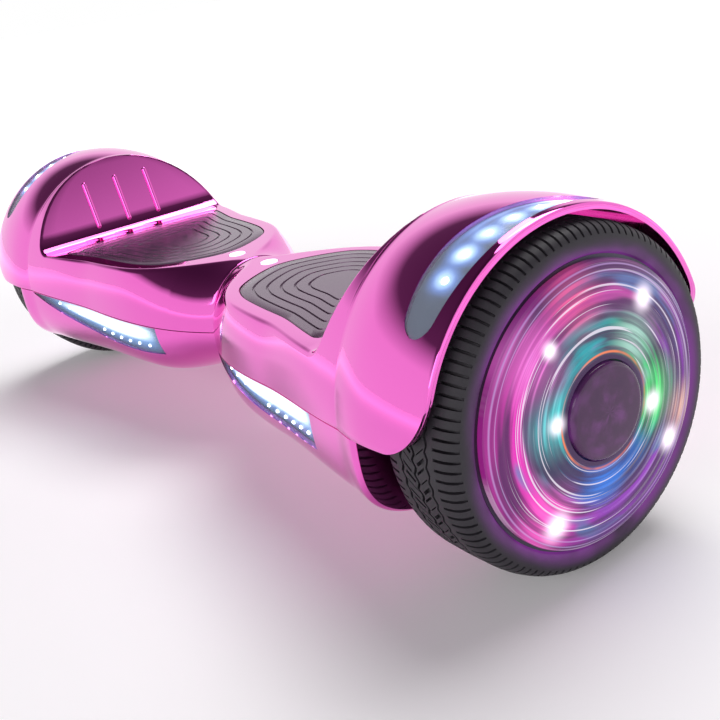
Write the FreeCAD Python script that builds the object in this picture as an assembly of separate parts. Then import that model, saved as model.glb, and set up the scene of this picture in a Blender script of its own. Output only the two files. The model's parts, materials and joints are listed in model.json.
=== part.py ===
import FreeCAD
import Part

import math
import os

from FreeCAD import Vector

# Self balancing board with two hub-motor wheels, in millimetres.
# +Z is up, X runs along the wheel axles and -Y is the front, where the headlights are.
# The origin is on the floor, under the middle of the pivot that joins the two halves.
# "left" is the rider's left, which is +X. The right half mirrors the left one, apart from
# its headlight, its pivot bore, its battery and its charging parts.
# Each half is an aluminium frame between two moulded covers. The left frame grips the
# pivot shaft, the right frame turns on it, and each frame clamps one fixed motor axle.

# ---- driving sizes ----------------------------------------------------------------
WHEEL_RADIUS = 82.5
TYRE_WIDTH = 50.0
TYRE_DEPTH = 14.5           # tread to bead, along the radius
HALF_LENGTH = 300.0         # middle of the board to the outer face of a wheel cap
DECK_HEIGHT = 114.0
GROUND_CLEARANCE = 32.0
SEAM_HEIGHT = 73.0          # where the top and bottom covers meet, at the neck
SEAM_RISE = 13.0            # how much higher they meet at the wheel well
WALL = 2.6                  # thickness of both covers
NECK_RADIUS = 35.0
WAIST_HALF_DEPTH = 77.0     # half the front-to-back size the body grows to
FENDER_OVER_TYRE = 3.8      # free space between the tyre and the wheel arch
FENDER_THICKNESS = 5.7
TWIST_LIMIT = 12.0          # degrees each way
PAD_TRAVEL = 1.5
BUTTON_TRAVEL = 1.2
AXLE_RADIUS = 7.5
SHAFT_RADIUS = 15.0
SHAFT_BORE = 10.0
BATTERY = (112.0, 70.0, 25.0)

# ---- fits and clearances ------------------------------------------------------------
RUNNING = 0.05              # radial, between parts that turn on each other
SEATED = 0.02               # radial, between parts that are clamped together
LOOSE = 0.4                 # round lenses, boards and the pad
JOINT_GAP = 1.2             # from the middle plane to each half
SEAM_GAP = 0.3
TYRE_SIDE_GAP = 8.0         # tyre to the wall of the wheel well

# ---- places that follow from the sizes above --------------------------------------
AXLE_Z = WHEEL_RADIUS
PIVOT_Z = DECK_HEIGHT - NECK_RADIUS
WELL_RADIUS = WHEEL_RADIUS + FENDER_OVER_TYRE
FENDER_RADIUS = WELL_RADIUS + FENDER_THICKNESS
TYRE_OUT = HALF_LENGTH - 10.0
TYRE_IN = TYRE_OUT - TYRE_WIDTH
HUB_RADIUS = WHEEL_RADIUS - TYRE_DEPTH
WELL_WALL_OUT = TYRE_IN - TYRE_SIDE_GAP
WELL_WALL_IN = WELL_WALL_OUT - WALL
FENDER_OUT = TYRE_OUT - 8.0
CROWN_X = TYRE_IN + 12.0    # where the fender is largest
CREASE_X = TYRE_IN - 26.0   # top of the sloping wall beside the deck
WALL_FOOT_X = TYRE_IN - 47.0
SKIRT_CORNER = 30.0         # radius of the fender's lower outer corner

PAD_THICKNESS = 3.0
POCKET_FLOOR = DECK_HEIGHT - PAD_THICKNESS - PAD_TRAVEL - 0.5
DECK_UNDERSIDE = POCKET_FLOOR - WALL
RIM_WIDTH = 10.0            # rim of cover left between the pad and the deck's edge
PAD_START_X = 32.0
PAD_END_X = WALL_FOOT_X - 12.0
INDICATOR_X = 21.0

FRAME_FLOOR = GROUND_CLEARANCE + WALL + 14.4
FRAME_TOP = FRAME_FLOOR + 3.0
FRAME_START_X = 14.0
FRAME_END_X = WELL_WALL_IN - 3.4
PIVOT_BLOCK_RADIUS = SHAFT_RADIUS + 10.0
PIVOT_BLOCK_START = 8.0
PIVOT_BLOCK_END = 62.0
AXLE_BLOCK_LENGTH = 30.0
AXLE_BLOCK_X = FRAME_END_X - AXLE_BLOCK_LENGTH
AXLE_START_X = AXLE_BLOCK_X + 1.0
AXLE_END_X = TYRE_OUT + 0.5
STOP_PIN_RADIUS = 2.0
STOP_PIN_REACH = SHAFT_RADIUS + 6.5

BOARD = 1.6                 # thickness of a circuit board
SENSOR_BOARD_Z = DECK_UNDERSIDE - 16.4
SWITCH_TOP = SENSOR_BOARD_Z + BOARD + 4.4
PLUNGER_FOOT = SWITCH_TOP + PAD_TRAVEL + 0.3
PLUNGER_SPOTS = [(100.0, -20.0), (100.0, 20.0), (158.0, -20.0), (158.0, 20.0)]
LONG_SCREWS = [(66.0, -34.0), (66.0, 34.0), (205.0, -30.0), (205.0, 30.0)]
SHORT_SCREWS = [(138.0, -34.0), (138.0, 34.0)]

BUTTON_SPOT = (-79.0, -20.0)
BUTTON_RADIUS = 7.0
SOCKET_SPOT = (-104.0, 20.0)
SOCKET_BORE = 8.0
CAP_RADIUS = 11.0
CAP_HINGE_Y = SOCKET_SPOT[1] + CAP_RADIUS + 2.4
CAP_Z = GROUND_CLEARANCE - 1.6

X_AXIS = Vector(1, 0, 0)
Z_AXIS = Vector(0, 0, 1)


# ---- small helpers ------------------------------------------------------------------
def ease(value, start, end):
    """0 before start, 1 after end, and a smooth step between."""
    share = min(1.0, max(0.0, (value - start) / (end - start)))
    return share * share * (3.0 - 2.0 * share)


def box(x0, x1, y0, y1, z0, z1):
    return Part.makeBox(x1 - x0, y1 - y0, z1 - z0, Vector(x0, y0, z0))


def rod(x0, x1, radius, z=AXLE_Z, y=0.0):
    """A cylinder along X."""
    return Part.makeCylinder(radius, x1 - x0, Vector(x0, y, z), X_AXIS)


def ring(x0, x1, outer, inner, z=AXLE_Z):
    """A plain ring along X."""
    return rod(x0, x1, outer, z).cut(rod(x0 - 1, x1 + 1, inner, z))


def post(x, y, z0, z1, radius):
    """A cylinder along Z."""
    return Part.makeCylinder(radius, z1 - z0, Vector(x, y, z0), Z_AXIS)


def turned(profile, z=AXLE_Z):
    """The solid that (x, radius) points sweep round the line along X at height z."""
    points = [Vector(x, 0, z + radius) for x, radius in profile]
    face = Part.Face(Part.makePolygon(points + points[:1]))
    return face.revolve(Vector(0, 0, z), X_AXIS, 360)


def tube(points, bend, radius):
    """A cable through straight runs joined by tangent bends."""
    edges = []
    start = points[0]
    for here, after in zip(points[1:-1], points[2:]):
        back = (start - here).normalize()
        on = (after - here).normalize()
        first = here + back * bend
        last = here + on * bend
        middle = here + (back + on) * (bend * (1.0 - math.sqrt(0.5)))
        edges.append(Part.makeLine(start, first))
        edges.append(Part.Arc(first, middle, last).toShape())
        start = last
    edges.append(Part.makeLine(start, points[-1]))
    spine = Part.Wire(edges)
    direction = (points[1] - points[0]).normalize()
    profile = Part.Wire([Part.makeCircle(radius, points[0], direction)])
    return spine.makePipeShell([profile], True, True)


def group(shapes):
    """Several separate solids of one node."""
    solids = []
    for shape in shapes:
        solids.extend(shape.Solids)
    return Part.makeCompound(solids)


def around(shape, count, z=AXLE_Z, first=0.0):
    """Copies of a shape set evenly round the line along X at height z."""
    copies = []
    for i in range(count):
        copy = shape.copy()
        copy.rotate(Vector(0, 0, z), X_AXIS, first + 360.0 * i / count)
        copies.append(copy)
    return copies


def mirrored(shape):
    return shape.mirror(Vector(0, 0, 0), X_AXIS)


# ---- outer form of a half -----------------------------------------------------------
def fender_radius(x):
    """The fender is barrelled: largest over the tyre, smaller at its lip and its crease."""
    away = (x - CROWN_X) / (FENDER_OUT - CROWN_X)
    return FENDER_RADIUS - 2.5 * away * away


def section_sizes(x):
    """(half depth, belt height, rise, drop, upper power, lower power) of the body at x."""
    shoulder = ease(x, 0.0, 80.0)
    full = fender_radius(max(x, CREASE_X))
    flare = ease(x, 0.5 * TYRE_IN, TYRE_IN)
    arch = ease(x, 0.52 * TYRE_IN, CREASE_X - 6.0)
    waist = WAIST_HALF_DEPTH - (WAIST_HALF_DEPTH - NECK_RADIUS) * math.exp(-x / 55.0)
    depth = waist + (full - waist) * flare
    belt = PIVOT_Z + (AXLE_Z - PIVOT_Z) * shoulder
    low_rise = NECK_RADIUS + (DECK_HEIGHT + 20.5 - AXLE_Z - NECK_RADIUS) * shoulder
    rise = low_rise + (full - low_rise) * arch
    drop = NECK_RADIUS + (AXLE_Z - GROUND_CLEARANCE - NECK_RADIUS) * ease(x, 0.0, 70.0)
    upper = 2.0 + 0.8 * shoulder * (1.0 - arch)
    lower = 2.0 + 1.4 * shoulder
    return depth, belt, rise, drop, upper, lower


def section_point(x, angle, inset):
    """The (y, z) of the cross-section at x. Angle 0 is the back of the belt line."""
    depth, belt, rise, drop, upper, lower = section_sizes(x)
    up = math.sin(angle) >= 0
    height = (rise if up else -drop) - (inset if up else -inset)
    power = 2.0 / (upper if up else lower)
    along = math.copysign(abs(math.cos(angle)) ** power, math.cos(angle))
    return (depth - inset) * along, belt + height * abs(math.sin(angle)) ** power


def half_depth_at(x, z, inset=0.0):
    """Half the front-to-back size of the body at x, at height z above the belt line."""
    depth, belt, rise, _, upper, _ = section_sizes(x)
    share = min(1.0, max(0.0, (z - belt) / (rise - inset)))
    return (depth - inset) * (1.0 - share ** upper) ** (1.0 / upper)


def seam_at(x):
    return SEAM_HEIGHT + SEAM_RISE * x / WELL_WALL_OUT


SECTION_POINTS = 36
STATIONS = 17


def section_wire(x, inset):
    points = []
    for i in range(SECTION_POINTS):
        y, z = section_point(x, 2.0 * math.pi * (i + 0.5) / SECTION_POINTS, inset)
        points.append(Vector(x, y, z))
    # Even parameters give every section the same knots, which keeps the loft light.
    even = [i / SECTION_POINTS for i in range(SECTION_POINTS + 1)]
    curve = Part.BSplineCurve()
    curve.interpolate(points, PeriodicFlag=True, Parameters=even)
    return Part.Wire([curve.toShape()])


FORMS = {}


def body_form(inset):
    """The closed form of a half, taken in by inset, from its neck to its fender lip."""
    if inset not in FORMS:
        neck = [JOINT_GAP, 6.0, 12.0, 18.0, 25.0, 33.0]
        step = (FENDER_OUT - neck[-1]) / STATIONS
        rest = [neck[-1] + step * (i + 1) for i in range(STATIONS)]
        wires = [section_wire(x, inset) for x in neck + rest]
        FORMS[inset] = Part.makeLoft(wires, True, False)
    return FORMS[inset]


def above_deck(deck_z, wall_shift, blend):
    """The space over the deck, up to the sloping wall that rises to the fender's crease."""
    foot = Vector(WALL_FOOT_X + wall_shift, 0, deck_z)
    top = Vector(CREASE_X + wall_shift, 0, AXLE_Z + FENDER_RADIUS)
    slope = (top - foot).normalize()
    inward = Vector(-1, 0, 0)
    first = foot + inward * blend
    last = foot + slope * blend
    bisector = (inward + slope).normalize()
    half = math.acos(inward.dot(slope)) / 2.0
    middle = foot + bisector * (blend / math.cos(half) - blend * math.tan(half))
    high = top + slope * 30.0
    corner = Vector(-20, 0, high.z)
    low = Vector(-20, 0, deck_z)
    edges = [
        Part.makeLine(low, first),
        Part.Arc(first, middle, last).toShape(),
        Part.makeLine(last, high),
        Part.makeLine(high, corner),
        Part.makeLine(corner, low),
    ]
    face = Part.Face(Part.Wire(edges))
    face.translate(Vector(0, -150, 0))
    return face.extrude(Vector(0, 300, 0))


def pad_outline(inset):
    """The footpad's outline, taken in by inset: round at the neck end, square at the wall."""
    start = PAD_START_X + inset
    end = PAD_END_X - inset
    edge = []
    count = 22
    for i in range(1, count):
        share = (1.0 - math.cos(math.pi * i / count)) / 2.0
        x = start + (end - start) * share
        nose = min(1.0, (x - start) / 26.0)
        tail = min(1.0, (end - x) / 13.0)
        full = half_depth_at(x, DECK_HEIGHT) - RIM_WIDTH - inset
        rounded = math.sqrt(1.0 - (1.0 - nose) ** 2) * (1.0 - (1.0 - tail) ** 3) ** 0.34
        edge.append(Vector(x, full * rounded, 0))
    other = [Vector(p.x, -p.y, 0) for p in reversed(edge)]
    points = edge + [Vector(end, 0, 0)] + other + [Vector(start, 0, 0)]
    curve = Part.BSplineCurve()
    curve.interpolate(points, PeriodicFlag=True)
    return Part.Wire([curve.toShape()])


def pad_prism(inset, z0, z1):
    wire = pad_outline(inset)
    wire.translate(Vector(0, 0, z0))
    return Part.Face(wire).extrude(Vector(0, 0, z1 - z0))


# ---- lights --------------------------------------------------------------------------
def headlight_prism(blunt_x, tip_x, grow, y0=-110.0, y1=-20.0):
    """A segment under the seam: straight along the top, curved below, blunt at one end."""
    way = 1.0 if tip_x > blunt_x else -1.0
    blunt = blunt_x - way * grow
    tip = tip_x + way * 4.0 * grow
    high = SEAM_HEIGHT - 1.0 + grow
    low = SEAM_HEIGHT - 20.5 - grow
    middle = Vector(blunt + 0.62 * (tip - blunt), y0, SEAM_HEIGHT - 15.5 - grow)
    corner = Vector(blunt, y0, low)
    point = Vector(tip, y0, high)
    top = Vector(blunt, y0, high)
    edges = [
        Part.makeLine(top, corner),
        Part.Arc(corner, middle, point).toShape(),
        Part.makeLine(point, top),
    ]
    prism = Part.Face(Part.Wire(edges)).extrude(Vector(0, y1 - y0, 0))
    climb = math.degrees(math.atan2(SEAM_RISE, WELL_WALL_OUT))
    prism.rotate(Vector(0, 0, SEAM_HEIGHT), Vector(0, 1, 0), -climb)
    return prism


def crescent_prism(grow):
    """A crescent over the fender's front shoulder, drawn square to its middle direction."""
    direction = math.radians(68.0)
    inner = CROWN_X + 3.0 - grow
    outer = FENDER_OUT - 5.0 + grow
    reach = 62.0
    low = 45.0
    points = [
        Vector(outer - 4.0, -low - grow, 0),
        Vector(inner + 3.0, -low - grow, 0),
        Vector(inner, 0.0, 0),
        Vector(outer - 1.0, reach + 2.0 * grow, 0),
        Vector(outer, 0.0, 0),
    ]
    edges = [
        Part.Arc(points[1], points[2], points[3]).toShape(),
        Part.Arc(points[3], points[4], points[0]).toShape(),
        Part.Arc(points[0], Vector(CROWN_X + 13.5, -low - 4.0 - grow, 0), points[1]).toShape(),
    ]
    prism = Part.Face(Part.Wire(edges)).extrude(Vector(0, 0, 130))
    prism.rotate(Vector(0, 0, 0), X_AXIS, 90.0 - math.degrees(direction))
    prism.translate(Vector(0, 0, AXLE_Z))
    return prism


def layer(outer_inset, inner_inset, tool):
    """The part of a tool that lies between two depths below the body's surface."""
    return body_form(outer_inset).common(tool).cut(body_form(inner_inset))


# ---- covers --------------------------------------------------------------------------
def under_seam(gap):
    """Everything below the seam, which rises from the neck to the wheel."""
    x0, x1 = -5.0, FENDER_OUT + 5.0
    outline = [(x0, 0.0), (x1, 0.0), (x1, seam_at(x1) - gap), (x0, seam_at(x0) - gap)]
    corners = [Vector(x, -120, z) for x, z in outline]
    return Part.Face(Part.makePolygon(corners + corners[:1])).extrude(Vector(0, 240, 0))


def cover_space():
    """The hollow inside the two covers of a half."""
    hollow = body_form(WALL).cut(above_deck(DECK_UNDERSIDE, WALL + 0.2, 5.0))
    return hollow.cut(box(WELL_WALL_IN, FENDER_OUT + 5, -120, 120, 0, 220))


def skirt_corner():
    """What is taken off the fender's lower outer corner to round it."""
    centre_x = FENDER_OUT - SKIRT_CORNER
    centre_z = seam_at(centre_x) + SKIRT_CORNER
    square = box(centre_x, FENDER_OUT + 5, -120, 120, 0, centre_z)
    return square.cut(Part.makeCylinder(SKIRT_CORNER, 240, Vector(centre_x, -120, centre_z), Vector(0, 1, 0)))


def top_cover(hollow):
    solid = body_form(0.0).cut(above_deck(DECK_HEIGHT, 0.0, 9.0))
    shell = solid.cut(hollow)
    bosses = [post(x, y, FRAME_TOP + 0.3, DECK_HEIGHT + 40, 5.0) for x, y in LONG_SCREWS]
    board_posts = []
    for x in (90.0, 168.0):
        for y in (-24.0, 24.0):
            board_posts.append(post(x, y, SENSOR_BOARD_Z + BOARD, DECK_UNDERSIDE + 1, 2.6))
    for boss in bosses + board_posts:
        shell = shell.fuse(boss.common(solid))
    shell = shell.cut(box(-5, FENDER_OUT + 5, -120, 120, 0, FRAME_TOP + 0.2))
    below = under_seam(0.0)
    for x, y in LONG_SCREWS:
        below = below.cut(post(x, y, FRAME_TOP, seam_at(x) + 1, 5.5))
    cuts = [
        below,
        skirt_corner(),
        rod(WELL_WALL_OUT, FENDER_OUT + 5, WELL_RADIUS),
        rod(WELL_WALL_IN - 1, WELL_WALL_OUT + 1, AXLE_RADIUS + 6.0),
        pad_prism(0.0, POCKET_FLOOR, DECK_HEIGHT + 1),
        post(INDICATOR_X, 0, DECK_HEIGHT - 3.2, DECK_HEIGHT + 1, 5.5 + LOOSE),
        layer(-1.0, 2.5, crescent_prism(0.3)),
    ]
    cuts += [post(x, y, DECK_UNDERSIDE - 1, DECK_HEIGHT, 3.5 + LOOSE) for x, y in PLUNGER_SPOTS]
    cuts += [post(x, y, FRAME_TOP, FRAME_TOP + 16, 2.0 + SEATED) for x, y in LONG_SCREWS]
    for cut in cuts:
        shell = shell.cut(cut)
    return shell


def bottom_cover(hollow, headlight, extra_cuts):
    solid = body_form(0.0).common(box(-5, WELL_WALL_OUT, -120, 120, 0, 120))
    solid = solid.common(under_seam(SEAM_GAP))
    shell = solid.cut(hollow)
    for x, y in LONG_SCREWS + SHORT_SCREWS:
        boss = post(x, y, GROUND_CLEARANCE - 2, FRAME_FLOOR - 0.05, 5.5).common(solid)
        shell = shell.fuse(boss)
    cuts = [rod(WELL_WALL_IN - 1, WELL_WALL_OUT + 1, AXLE_RADIUS + 6.0), headlight]
    for x, y in LONG_SCREWS + SHORT_SCREWS:
        cuts.append(post(x, y, GROUND_CLEARANCE - 3, FRAME_FLOOR - 6.0, 4.2))
        cuts.append(post(x, y, FRAME_FLOOR - 7.0, FRAME_FLOOR + 1, 2.2))
    for cut in cuts + extra_cuts:
        shell = shell.cut(cut)
    return shell


def cover_screws():
    screws = []
    for x, y in LONG_SCREWS + SHORT_SCREWS:
        tip = FRAME_TOP + 14.0 if (x, y) in LONG_SCREWS else FRAME_TOP - 0.3
        head = post(x, y, FRAME_FLOOR - 9.0, FRAME_FLOOR - 6.0, 3.9)
        recess = post(x, y, FRAME_FLOOR - 9.5, FRAME_FLOOR - 7.4, 1.6)
        screws.append(head.fuse(post(x, y, FRAME_FLOOR - 6.0, tip, 2.0)).cut(recess))
    return group(screws)


# ---- frame and what it clamps ---------------------------------------------------------
def frame(bore):
    """The aluminium frame: floor, side ribs, pivot block and the lower half of the axle clamp."""
    outline = [(FRAME_START_X, 14), (30, 22), (70, 42), (FRAME_END_X, 42)]
    corners = [Vector(x, y, FRAME_FLOOR) for x, y in outline]
    corners += [Vector(x, -y, FRAME_FLOOR) for x, y in reversed(outline)]
    floor = Part.Face(Part.makePolygon(corners + corners[:1]))
    solid = floor.extrude(Vector(0, 0, FRAME_TOP - FRAME_FLOOR))
    for side in (-1, 1):
        inner, outer = sorted((side * 39.5, side * 42.0))
        solid = solid.fuse(box(76, FRAME_END_X, inner, outer, FRAME_FLOOR, FRAME_TOP + 14))
    solid = solid.fuse(rod(PIVOT_BLOCK_START, PIVOT_BLOCK_END, PIVOT_BLOCK_RADIUS, PIVOT_Z))
    solid = solid.fuse(box(FRAME_START_X + 2, PIVOT_BLOCK_END, -16, 16, FRAME_FLOOR, PIVOT_Z - 10))
    solid = solid.fuse(box(AXLE_BLOCK_X, FRAME_END_X, -18, 18, FRAME_FLOOR, AXLE_Z - 0.3))
    solid = solid.cut(rod(PIVOT_BLOCK_START - 1, PIVOT_BLOCK_END + 1, bore, PIVOT_Z))
    solid = solid.cut(rod(AXLE_BLOCK_X - 1, FRAME_END_X + 1, AXLE_RADIUS + SEATED))
    for x, y in LONG_SCREWS + SHORT_SCREWS:
        solid = solid.cut(post(x, y, FRAME_FLOOR - 1, FRAME_TOP + 1, 2.0 + SEATED))
    for x, y in clamp_bolt_spots():
        solid = solid.cut(post(x, y, AXLE_Z - 20, AXLE_Z + 1, 2.5 + SEATED))
    return solid


def clamp_bolt_spots():
    return [(x, y) for x in (AXLE_BLOCK_X + 8, FRAME_END_X - 8) for y in (-13.0, 13.0)]


def axle_clamp():
    solid = box(AXLE_BLOCK_X + 2, FRAME_END_X - 2, -18, 18, AXLE_Z + 0.3, AXLE_Z + 14)
    solid = solid.cut(rod(AXLE_BLOCK_X, FRAME_END_X, AXLE_RADIUS + SEATED))
    for x, y in clamp_bolt_spots():
        solid = solid.cut(post(x, y, AXLE_Z - 1, AXLE_Z + 15, 2.5 + SEATED))
    return solid


def clamp_bolts():
    bolts = []
    for x, y in clamp_bolt_spots():
        head = post(x, y, AXLE_Z + 14, AXLE_Z + 18.5, 4.2)
        bolt = head.fuse(post(x, y, AXLE_Z - 18, AXLE_Z + 14, 2.5))
        bolts.append(bolt.cut(post(x, y, AXLE_Z + 15.8, AXLE_Z + 19, 2.0)))
    return group(bolts)


# ---- wheel ---------------------------------------------------------------------------
def tyre():
    half = TYRE_WIDTH / 2.0
    middle = (TYRE_IN + TYRE_OUT) / 2.0
    side = [(half - 2.5, 0.0), (half - 0.6, 2.0), (half, 5.0), (half - 0.2, 8.5)]
    side += [(half - 1.6, 11.4), (half - 4.5, 13.2), (half - 9.0, TYRE_DEPTH - 0.4)]
    side += [(half - 15.0, TYRE_DEPTH)]
    outline = [(middle - dx, HUB_RADIUS + dr) for dx, dr in side]
    outline += [(middle + dx, HUB_RADIUS + dr) for dx, dr in reversed(side)]
    solid = turned(outline)
    for shift in (-10.0, 10.0):
        solid = solid.cut(ring(middle + shift - 1.1, middle + shift + 1.1, WHEEL_RADIUS + 1,
                               WHEEL_RADIUS - 2.6))
    slits = []
    pairs = 20
    for end in (-1, 1):
        for length, lead in ((11.5, 0.0), (8.0, 6.5)):
            near = middle + end * (half - length)
            x0, x1 = sorted((near, middle + end * (half + 1.0)))
            slit = box(x0, x1, -0.9, 0.9, AXLE_Z + WHEEL_RADIUS - 6.5, AXLE_Z + WHEEL_RADIUS + 2)
            slits += around(slit, pairs, AXLE_Z, lead + (3.0 if end > 0 else 0.0))
    return solid.cut(Part.makeCompound(slits))


def hub_shell():
    rim = ring(TYRE_IN + 2, TYRE_OUT - 2, HUB_RADIUS, HUB_RADIUS - 8)
    plate = ring(TYRE_IN + 2, TYRE_IN + 6, HUB_RADIUS - 4, 16.0)
    seat = ring(TYRE_IN + 2, TYRE_IN + 12, 21.0, 16.0)
    shell = rim.fuse(plate).fuse(seat)
    opening = ring(TYRE_OUT - 5.7, TYRE_OUT - 1, HUB_RADIUS - 5.5, HUB_RADIUS - 9)
    return shell.cut(opening)


def hub_side_cover():
    plate = ring(TYRE_OUT - 5.6, TYRE_OUT - 2, HUB_RADIUS - 5.5 - SEATED, 16.0)
    return plate.fuse(ring(TYRE_OUT - 11, TYRE_OUT - 2, 21.0, 16.0))


def magnets():
    solid = ring(TYRE_IN + 12, TYRE_IN + 38, HUB_RADIUS - 8 - SEATED, HUB_RADIUS - 11)
    gap = box(TYRE_IN, TYRE_OUT, -0.5, 0.5, AXLE_Z + HUB_RADIUS - 15, AXLE_Z + HUB_RADIUS)
    return solid.cut(Part.makeCompound(around(gap, 20)))


def stator():
    """Laminated core with its teeth, and a copper coil round each tooth."""
    x0 = TYRE_IN + 14
    x1 = TYRE_IN + 36
    rim = HUB_RADIUS - 11.7
    core = ring(x0, x1, 30.0, AXLE_RADIUS + SEATED)
    tooth = box(x0, x1, -2.2, 2.2, AXLE_Z + 28, AXLE_Z + rim - 3)
    crown = ring(x0, x1, rim, rim - 4)
    gap = box(x0 - 1, x1 + 1, -1.2, 1.2, AXLE_Z + rim - 8, AXLE_Z + rim + 4)
    count = 18
    crown = crown.cut(Part.makeCompound(around(gap, count, AXLE_Z, 180.0 / count)))
    core = core.multiFuse(around(tooth, count) + [crown])
    coil = box(x0 - 2.5, x1 + 2.5, -4.2, 4.2, AXLE_Z + 33, AXLE_Z + rim - 5)
    coil = coil.cut(box(x0 - 0.05, x1 + 0.05, -2.25, 2.25, AXLE_Z + 28, AXLE_Z + rim))
    return group([core] + around(coil, count))


def axle():
    solid = rod(AXLE_START_X, AXLE_END_X, AXLE_RADIUS)
    return solid.cut(box(AXLE_START_X - 1, FRAME_END_X, -9, 9, AXLE_Z + 6.4, AXLE_Z + 10))


def bearing(x0):
    race = ring(x0, x0 + 9.0, 16.0 - SEATED, AXLE_RADIUS + RUNNING)
    groove = ring(x0 - 1, x0 + 0.8, 13.6, 10.6)
    return race.cut(groove).cut(ring(x0 + 8.2, x0 + 10, 13.6, 10.6))


def wheel_light_board():
    board = ring(TYRE_OUT - 1.6, TYRE_OUT - 0.2, HUB_RADIUS - 7, 27.0)
    led = box(TYRE_OUT - 0.2, TYRE_OUT + 0.8, -2.0, 2.0, AXLE_Z + 44.0, AXLE_Z + 48.0)
    return board.multiFuse(around(led, 24))


def wheel_light_cover():
    outer = [(TYRE_OUT - 1.9, HUB_RADIUS - 1.6), (TYRE_OUT + 1.4, HUB_RADIUS - 1.6)]
    outer += [(TYRE_OUT + 3.0, HUB_RADIUS - 4.0), (TYRE_OUT + 4.8, 50.0), (TYRE_OUT + 6.4, 36.0)]
    outer += [(TYRE_OUT + 7.2, 23.0)]
    inner = [(x - 2.0, r) for x, r in reversed(outer[3:])]
    inner += [(TYRE_OUT + 1.2, HUB_RADIUS - 5.0), (TYRE_OUT + 0.2, HUB_RADIUS - 6.0)]
    inner += [(TYRE_OUT - 1.9, HUB_RADIUS - 6.0)]
    return turned(outer + inner)


def wheel_cap():
    profile = [(TYRE_OUT - 1.9, 10.0), (TYRE_OUT - 1.9, 22.0), (TYRE_OUT + 7.6, 22.5)]
    profile += [(TYRE_OUT + 9.2, 21.2), (HALF_LENGTH, 17.0), (HALF_LENGTH, 0.0)]
    profile += [(TYRE_OUT + 1.5, 0.0), (TYRE_OUT + 1.5, 10.0)]
    return turned(profile)


# ---- footpad and its sensors -----------------------------------------------------------
def footpad():
    """The rubber pad with its grooves, and the plungers that press the switches."""
    pad = pad_prism(LOOSE, DECK_HEIGHT - PAD_THICKNESS, DECK_HEIGHT)
    for inset in (9.0, 19.0, 29.0):
        groove = pad_prism(inset, DECK_HEIGHT - 0.8, DECK_HEIGHT + 1)
        pad = pad.cut(groove.cut(pad_prism(inset + 1.4, DECK_HEIGHT - 1, DECK_HEIGHT + 2)))
    for x, y in PLUNGER_SPOTS:
        pad = pad.fuse(post(x, y, PLUNGER_FOOT, DECK_HEIGHT - 2, 3.5))
    return pad


def sensor_board():
    board = box(84, 174, -28, 28, SENSOR_BOARD_Z, SENSOR_BOARD_Z + BOARD)
    for x, y in PLUNGER_SPOTS:
        board = board.fuse(box(x - 3, x + 3, y - 3, y + 3, SENSOR_BOARD_Z + 1, SWITCH_TOP))
    return board


# ---- parts of the middle joint ---------------------------------------------------------
def pivot_shaft():
    shaft = ring(-PIVOT_BLOCK_END - 6, PIVOT_BLOCK_END, SHAFT_RADIUS, SHAFT_BORE, PIVOT_Z)
    x0 = -PIVOT_BLOCK_END - 2.6
    return shaft.cut(ring(x0, x0 + 2.0, SHAFT_RADIUS + 1, SHAFT_RADIUS - 1.2, PIVOT_Z))


def pivot_circlip():
    x0 = -PIVOT_BLOCK_END - 2.5
    clip = ring(x0, x0 + 1.8, SHAFT_RADIUS + 2.8, SHAFT_RADIUS - 1.1, PIVOT_Z)
    return clip.cut(box(x0 - 1, x0 + 3, -4, 4, PIVOT_Z + 5, PIVOT_Z + 30))


def pivot_bushes():
    bushes = []
    for x0 in (-PIVOT_BLOCK_END + 1, -PIVOT_BLOCK_START - 19):
        bushes.append(ring(x0, x0 + 18, SHAFT_RADIUS + 3, SHAFT_RADIUS + RUNNING, PIVOT_Z))
    return group(bushes)


def stop_slot():
    """The curved slot in the right pivot block that the stop pin swings in."""
    half = TWIST_LIMIT + math.degrees(math.asin((STOP_PIN_RADIUS + 0.3) / STOP_PIN_REACH))
    far = 2.0 * STOP_PIN_REACH
    side = far * math.tan(math.radians(half))
    corners = [(0.0, 0.0), (side, far), (-side, far)]
    points = [Vector(-PIVOT_BLOCK_START - 16, y, PIVOT_Z + z) for y, z in corners]
    wedge = Part.Face(Part.makePolygon(points + points[:1])).extrude(Vector(20, 0, 0))
    reach = STOP_PIN_RADIUS + 0.5
    curve = ring(-PIVOT_BLOCK_START - 16, -PIVOT_BLOCK_START + 4, STOP_PIN_REACH + reach,
                 STOP_PIN_REACH - reach, PIVOT_Z)
    return curve.common(wedge)


def harness():
    """Battery cable through the hollow pivot shaft, and the left motor's cable."""
    plug_x = -PIVOT_BLOCK_END - 8
    main = tube([Vector(plug_x, 0, PIVOT_Z), Vector(PIVOT_BLOCK_END + 20, 0, PIVOT_Z),
                 Vector(PIVOT_BLOCK_END + 20, 0, FRAME_TOP + 10)], 12.0, 4.0)
    plug = rod(plug_x - 8, plug_x, 7.0, PIVOT_Z)
    motor = tube([Vector(AXLE_START_X - 0.4, 0, AXLE_Z), Vector(AXLE_START_X - 32, 0, AXLE_Z),
                  Vector(AXLE_START_X - 32, 0, FRAME_TOP + 10)], 12.0, 2.5)
    return group([main.fuse(plug), motor])


def control_board():
    z = FRAME_TOP + 5.0
    board = box(76, 176, -33, 33, z, z + BOARD)
    parts = [box(78, 88, -8, 8, z + 1, z + 4.7), box(158, 172, -8, 8, z + 1, z + 4.7)]
    parts += [box(100, 120, -10, 10, z + 1, z + 4), post(132, -18, z + 1, z + 14, 6)]
    parts += [post(132, 18, z + 1, z + 14, 6)]
    parts += [box(96 + 12 * i, 103 + 12 * i, 22, 32, z + 1, z + 6) for i in range(5)]
    return board.multiFuse(parts)


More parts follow.
